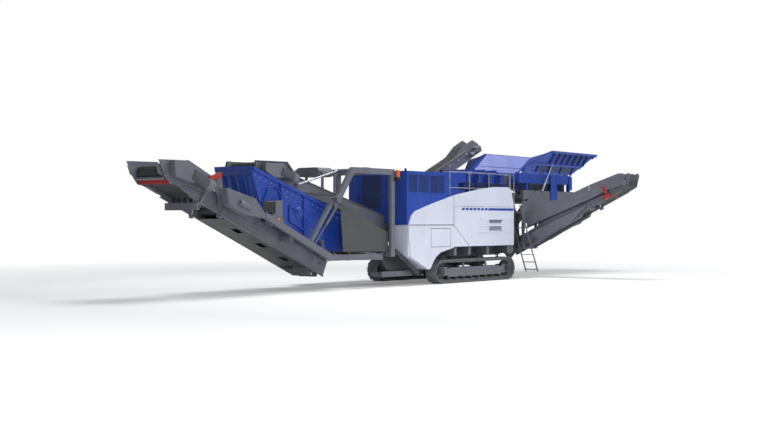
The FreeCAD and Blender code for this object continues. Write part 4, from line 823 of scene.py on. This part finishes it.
def makeFrontCurtain():
    # curved plates on the screen's front: depth 60 * sin(pi * share)
    strips = []
    for y in np.arange(-700, 640, 350.0):
        share = np.linspace(0, 1, 13)
        across = y + share * 330
        depth = -60 * np.sin(np.pi * share)
        low = np.stack([-10230 + depth, across, np.full(13, 2700.0)], -1)
        high = np.stack([-10430 + depth, across, np.full(13, 3500.0)], -1)
        outline = np.concatenate([low, low[::-1] + (10, 0, 0)])
        upper = np.concatenate([high, high[::-1] + (10, 0, 0)])
        strips.append((np.concatenate([outline, upper]), ringFaces(2, 26)))
    makePiece("screen_front_curtain", merged(strips), blueEnamel)


makeScreenDetails()
makeFrontCurtain()
print("screen details made")


# ---- panel seams and louvres ----

def makeSeams():
    # painted shade: black strips in the gaps between the sheets, standing in for the shade there
    face = -1590.0
    seams = [bar((-4000, 2035), (-1500, 2035), 22, face - 4, face + 6),
             bar((-1495, 2040), (-1495, 3030), 12, face - 3, face + 6)]
    flap = [bar((-1490, 2692), (2330, 2692), 9, face - 3, face),
            bar((-1488, 2030), (-1488, 2690), 9, face - 3, face),
            bar((-1488, 2020), (-560, 1290), 12, face - 3, face)]
    hatch = [bar((-2798, 1290), (-2798, 1910), 8, face - 3, face),
             bar((-1690, 1290), (-1690, 1910), 8, face - 3, face),
             bar((-2798, 1910), (-1690, 1910), 8, face - 3, face),
             bar((-2798, 1290), (-1690, 1290), 8, face - 3, face)]
    makePiece("panel_gap_shades", merged(seams), blackRubber)
    makePiece("flap_gap_shades", merged(flap), blackRubber, "flap")
    makePiece("hatch_gap_shades", merged(hatch), blackRubber, "hatch")
    shelves, slotShades = [], []
    for z, x0, x1 in ((2215, 150, 2300), (1985, 130, 2300), (1745, 290, 1430)):
        shelves.append(plate([(face, z - 4), (face - 38, z + 8), (face - 38, z + 22), (face, z + 62)], "yz",
                             x0, x1))
    # painted shade: thin grey bars for the shade inside the louvre slots
    for z in (2090, 1840):
        slotShades += [(x, x + 26, face - 3, face, z, z + 120) for x in np.arange(700, 1500, 40.0)]
    makePiece("flap_louvres", merged(shelves), whiteEnamel, "flap", bevel=4)
    makePiece("flap_slot_shades", boxes(slotShades), greyEnamel, "flap")


makeSeams()
print("panel seams made")


# ---- hopper ----

hopper = {"slope": 0.3468, "inner": 1366.0, "reference": 4300.0}


def wallPoint(x, z, out=0.0):
    # inner face of the far wall: y = inner + slope * (z - reference)
    return (x, hopper["inner"] + hopper["slope"] * (z - hopper["reference"]) + out, z)


def sheetOn(outline, thick, out=0.0):
    # a sheet on the leaned wall: thick from its outer face inwards, which lies out from the wall's inner face
    face = [wallPoint(x, z, out) for x, z in outline]
    back = [wallPoint(x, z, out - thick) for x, z in outline]
    area = sum(a[0] * b[1] - b[0] * a[1] for a, b in zip(outline, outline[1:] + outline[:1]))
    points = np.array((face + back) if area > 0 else (face[::-1] + back[::-1]))
    return points, ringFaces(2, len(outline))


def makeHopperDetails():
    # the liners take the pale blue: painted light on the lit inner face
    lower = sheetOn([(3790, 4170), (6900, 4170), (7000, 4245), (7262, 4245), (7480, 4390), (4300, 4390)], 12)
    upper = sheetOn([(4330, 4410), (7510, 4410), (8560, 4920), (5230, 4920)], 12)
    liners = merged([lower, upper])
    makePiece("hopper_liner_far", liners, litBlueEnamel, "hopper_far", bevel=2)
    makePiece("hopper_liner_near", mirroredPart(liners), litBlueEnamel, "hopper_near", bevel=2)
    # front wing plates that close the corner at each side wall's front edge; the far one is in the shaded
    # blue, painted shade
    wing = sheetOn([(3115, 4050), (3240, 4050), (5180, 4936), (5085, 4936), (4600, 4800), (3750, 4620)], 8)
    makePiece("hopper_wing_near", mirroredPart(wing), blueEnamel, "hopper_near", bevel=2)
    makePiece("hopper_wing_far", wing, shadeBlueEnamel, "hopper_far", bevel=2)
    # painted shade: plates in the shaded blue behind the ribs of the outer face
    field = merged([sheetOn([(5020, 4500), (7650, 4500), (8480, 4850), (5420, 4850)], 6, 29),
                    sheetOn([(4150, 4110), (7120, 4110), (7560, 4440), (4880, 4440)], 6, 29)])
    makePiece("hopper_field_near", mirroredPart(field), shadeBlueEnamel, "hopper_near")
    makePiece("hopper_field_far", field, shadeBlueEnamel, "hopper_far")
    # plate corners behind the mitre between side and rear walls
    column = boxes([(5380, 5880, -1352, -1302, 3000, 3990), (5380, 5410, -1362, -1302, 3000, 3990),
                    (5850, 5880, -1362, -1302, 3000, 3990)])
    makePiece("hopper_column_near", column, blueEnamel, bevel=5)
    cheek = [(3340, 2900), (3730, 2960), (4360, 3350), (6950, 3340), (7060, 3260), (6950, 3190), (5400, 2960),
             (4500, 2480), (3700, 2080), (3340, 2080)]
    makePiece("chassis_cheek_near", plate(cheek, "xz", -1330, -1312), greyEnamel, bevel=4)
    # painted shade: infill plates in the shaded blue
    infill = boxes([(5480, 7040, -1010, -995, 3370, 3720), (3300, 4400, -1010, -995, 3370, 3720)])
    makePiece("hopper_infill_near", infill, shadeBlueEnamel)
    posts = [turned([(0, 46), (500, 46), (500, 30), (520, 30), (1250, 24), (1262, 12)], (4700, -1380, 3330),
                    (0.55, -0.1, 1), 20)]
    makePiece("fold_cylinder_near", merged(posts), galvanised, smooth=True)


makeHopperDetails()
print("hopper details made")


# ---- side conveyor ----

sideBelt = {
    "skirt": [(-1345, 2490), (-1770, 2720), (-2440, 2900), (-3240, 3160), (-4066, 3500), (-4066, 2965),
              (-1380, 1950)],
    "tipSkirt": [(-4080, 3505), (-5250, 3900), (-5430, 3900), (-5540, 3860), (-5510, 3630), (-5430, 3470),
                 (-4860, 3330), (-4080, 2965)],
    "lower": [(-1720, 1800), (-4000, 2780), (-3600, 2400), (-3240, 2060), (-2860, 1930), (-1960, 1440),
              (-1530, 1640)],
    "faces": (3588.0, 3599.0), "farFaces": (4401.0, 4412.0),
}


def makeSideConveyor():
    s = sideBelt
    for name, outline, body in (("skirt", s["skirt"], "machine"), ("lower", s["lower"], "machine"),
                                ("tipSkirt", s["tipSkirt"], "side_tip")):
        both = merged([plate(outline, "yz", *s["faces"]), plate(outline, "yz", *s["farFaces"])])
        makePiece("side_" + name + "_plates", both, greyEnamel, body, bevel=3)
    # painted shade: black strips for the shade in the gap between the skirt and the lower plates
    gap = [plate([(-1370, 1890), (-4050, 2900), (-4050, 2960), (-1370, 1950)], "yz", x,
                 x + 8) for x in (3590, 4402)]
    makePiece("side_gap_shades", merged(gap), blackRubber)
    tipGap = [plate([(-4110, 2920), (-4870, 3240), (-4870, 3320), (-4110, 2975)], "yz", x,
                    x + 8) for x in (3590, 4402)]
    makePiece("side_tip_gap_shades", merged(tipGap), blackRubber, "side_tip")
    red = [plate([(-4560, 3440), (-4660, 3470), (-4860, 3200), (-4760, 3150)], "yz", 3566, 3588),
           plate([(-4600, 3060), (-4760, 3130), (-4950, 3160), (-4950, 3040), (-4750, 2960)], "yz", 3560,
                 3588)]
    makePiece("side_latches", merged(red), redEnamel, "side_tip", bevel=5)
    rod = turned([(0, 20), (200, 20), (206, 34), (240, 34), (246, 10)], (3575, -5080, 3190),
                 (0, -0.55, -0.83), 16)
    makePiece("side_locking_pin", rod, redEnamel, "side_tip", smooth=True)
    rows = [lineOf((3588, -3500, 3010), (3588, -4030, 3210), 100),
            lineOf((3588, -3700, 2890), (3588, -4030, 3020), 110)]
    makePiece("side_nuts", studs(np.concatenate(rows), (-1, 0, 0), nut), galvanised)


makeSideConveyor()
print("side conveyor details made")


# ---- portal arms, links and the crusher's top ----

chassis = {
    "armFoot": (-4500, 1190), "armTip": (-3230, 380), "armWide": 150, "arm": (-1400, -1280),
    "belly": (-1050, -880),
    # plate of the hydraulic unit; the reservoir stands on its near face, clear of the folding steps
    "unitPlate": (-1096, -1036), "reservoirAt": (2780, 1150),
    "topUnitsX": (200, 900, 1650, 2350), "topUnitsY": -1010, "topUnitsZ": 3560,
}


def makeChassisDetails():
    c = chassis
    arm = bar(c["armFoot"], c["armTip"], c["armWide"], *c["arm"])
    tie = turned([(0, 60), (500, 60)], (-3230, -1400, 380), (0, 1, 0), 24)
    links = [boxes([(-4900, -2960, -1150, -1070, 320, 500), (-4800, -2900, -700, -620, 320, 470)]),
             turned([(-6, 52), (92, 52)], (-3060, -1150, 405), (0, 1, 0), 20)]
    belly = plate([(-4880, 1140), (-4880, 900), (-4500, 520), (-2700, 420), (-2500, 900), (-2500, 1140)],
                  "xz", *c["belly"])
    makePiece("portal_arms", merged([arm, tie]), darkEnamel, bevel=6)
    makePiece("belly_guard", belly, darkEnamel, bevel=6)
    makePiece("low_links", merged(links), greyEnamel, bevel=8)
    unitPlate = plate([(2440, 2900), (3150, 2760), (3480, 2300), (3480, 1900), (3600, 1180), (2850, 700),
                       (2440, 1000)], "xz", *c["unitPlate"])
    reservoir = turned([(-4, 190), (20, 205), (60, 205), (80, 180), (84, 60)],
                       (c["reservoirAt"][0], c["unitPlate"][0], c["reservoirAt"][1]), (0, -1, 0), 36)
    makePiece("hydraulic_plate", unitPlate, darkEnamel, bevel=6)
    makePiece("round_reservoir", reservoir, greyEnamel, smooth=True)
    top = []
    for x in c["topUnitsX"]:
        top.append(turned([(0, 120), (30, 120), (40, 96), (300, 96), (310, 120), (340, 120), (350, 60)],
                          (x, c["topUnitsY"], c["topUnitsZ"]), (0, 0, 1), 24))
    # the rail's blocks take the shaded blue, painted shade
    blocks = boxes([(-250, 2650, -1130, -880, 3300, 3560), (500, 720, -1180, -1130, 3340, 3520),
                    (1250, 1470, -1180, -1130, 3340, 3520), (-250, 2650, -1140, -1120, 3540, 3570)])
    makePiece("crusher_top_units", merged(top), blueEnamel, smooth=True)
    makePiece("crusher_top_rail", blocks, shadeBlueEnamel, bevel=8)


makeChassisDetails()
print("chassis details made")


# ---- floor, light, camera ----

studio = {
    "floorColour": "#F3F4F6",
    "floorGlow": 0.18,
    "floorFade": (14.0, 40.0),
    "floorSize": 400.0,
    "worldLight": 0.2,
    "keyEnergy": 5800.0,
    "keySize": 22.0,
    "keyPlace": (14000.0, -30000.0, 24000.0),
    "topEnergy": 3400.0,
    "topSize": 9.0,
    "topPlace": (-1500.0, -1500.0, 21000.0),
    "fillEnergy": 2600.0,
    "fillPlace": (-26000.0, -24000.0, 12000.0),
    "aim": (-1500.0, 0.0, 2000.0),
}


def seenDirectly(tree):
    # 1 for what the camera sees, 0 for light that falls on the object
    path = addNode(tree, "ShaderNodeLightPath")
    return addNode(tree, "ShaderNodeMath",
                   {0: path.outputs["Is Camera Ray"], 1: path.outputs["Is Transmission Ray"]},
                   operation="MAXIMUM").outputs["Value"]


def makeFloor():
    half = studio["floorSize"] / 2
    mesh = bpy.data.meshes.new("floor")
    mesh.from_pydata([(-half, -half, 0), (half, -half, 0), (half, half, 0), (-half, half, 0)], [],
                     [(0, 1, 2, 3)])
    floor = bpy.data.objects.new("floor", mesh)
    bpy.context.scene.collection.objects.link(floor)
    material, tree, place = startMaterial("floor_painted_concrete_pale")
    shader = addNode(tree, "ShaderNodeBsdfPrincipled", {"Base Color": linear(studio["floorColour"]),
                                                        "Roughness": 0.9})
    # the glow grows with the distance from the machine, so the floor fades into the white
    away = addNode(tree, "ShaderNodeVectorMath", {0: place}, operation="LENGTH").outputs["Value"]
    strength = ramp(tree, away, *studio["floorFade"], studio["floorGlow"], 1.1)
    glow = addNode(tree, "ShaderNodeEmission", {"Color": (1, 1, 1, 1), "Strength": strength})
    none = addNode(tree, "ShaderNodeEmission", {"Color": (0, 0, 0, 1), "Strength": 0.0})
    pick = addNode(tree, "ShaderNodeMixShader",
                   {0: seenDirectly(tree), 1: none.outputs[0], 2: glow.outputs[0]})
    total = addNode(tree, "ShaderNodeAddShader", {0: shader.outputs[0], 1: pick.outputs[0]})
    addNode(tree, "ShaderNodeOutputMaterial", {"Surface": total.outputs[0]})
    mesh.materials.append(material)


def makeWorld():
    world = bpy.data.worlds.new("studio")
    bpy.context.scene.world = world
    world.use_nodes = True
    tree = world.node_tree
    tree.nodes.clear()
    light = addNode(tree, "ShaderNodeBackground", {"Color": (1, 1, 1, 1), "Strength": studio["worldLight"]})
    seen = addNode(tree, "ShaderNodeBackground", {"Color": (1, 1, 1, 1), "Strength": 1.0})
    pick = addNode(tree, "ShaderNodeMixShader",
                   {0: seenDirectly(tree), 1: light.outputs[0], 2: seen.outputs[0]})
    addNode(tree, "ShaderNodeOutputWorld", {"Surface": pick.outputs[0]})


def makeLamp(name, place, energy, size):
    lamp = bpy.data.lights.new(name, "AREA")
    lamp.energy = energy
    lamp.size = size
    lampObject = bpy.data.objects.new(name, lamp)
    bpy.context.scene.collection.objects.link(lampObject)
    start, target = toRow(place), toRow(studio["aim"])
    lampObject.location = start
    way = Vector(target - start)
    lampObject.rotation_euler = way.to_track_quat("-Z", "Y").to_euler()


photoCamera = {
    "place": (-33704.0, -24800.0, 2151.0),
    "heading": 39.296,      # degrees from +x towards +y
    "tilt": 0.28,           # degrees above the level
    "focal": 1136.3,        # in pixels of the 768 wide picture
    "pictureWidth": 768,
    "sensor": 36.0,
}


def makeCamera():
    data = bpy.data.cameras.new("photo_camera")
    data.sensor_fit = "HORIZONTAL"
    data.sensor_width = photoCamera["sensor"]
    data.lens = photoCamera["focal"] * photoCamera["sensor"] / photoCamera["pictureWidth"]
    data.clip_end = 1000.0
    camera = bpy.data.objects.new("photo_camera", data)
    bpy.context.scene.collection.objects.link(camera)
    camera.location = toRow(photoCamera["place"])
    camera.rotation_euler = (math.radians(90 + photoCamera["tilt"]), 0.0,
                             math.radians(photoCamera["heading"] - 90))
    bpy.context.scene.camera = camera


makeCamera()
makeFloor()
makeWorld()
makeLamp("key", studio["keyPlace"], studio["keyEnergy"], studio["keySize"])
makeLamp("top", studio["topPlace"], studio["topEnergy"], studio["topSize"])
makeLamp("fill", studio["fillPlace"], studio["fillEnergy"], studio["keySize"])
bpy.context.scene.view_settings.view_transform = "Standard"
print("camera, floor and lamps made")
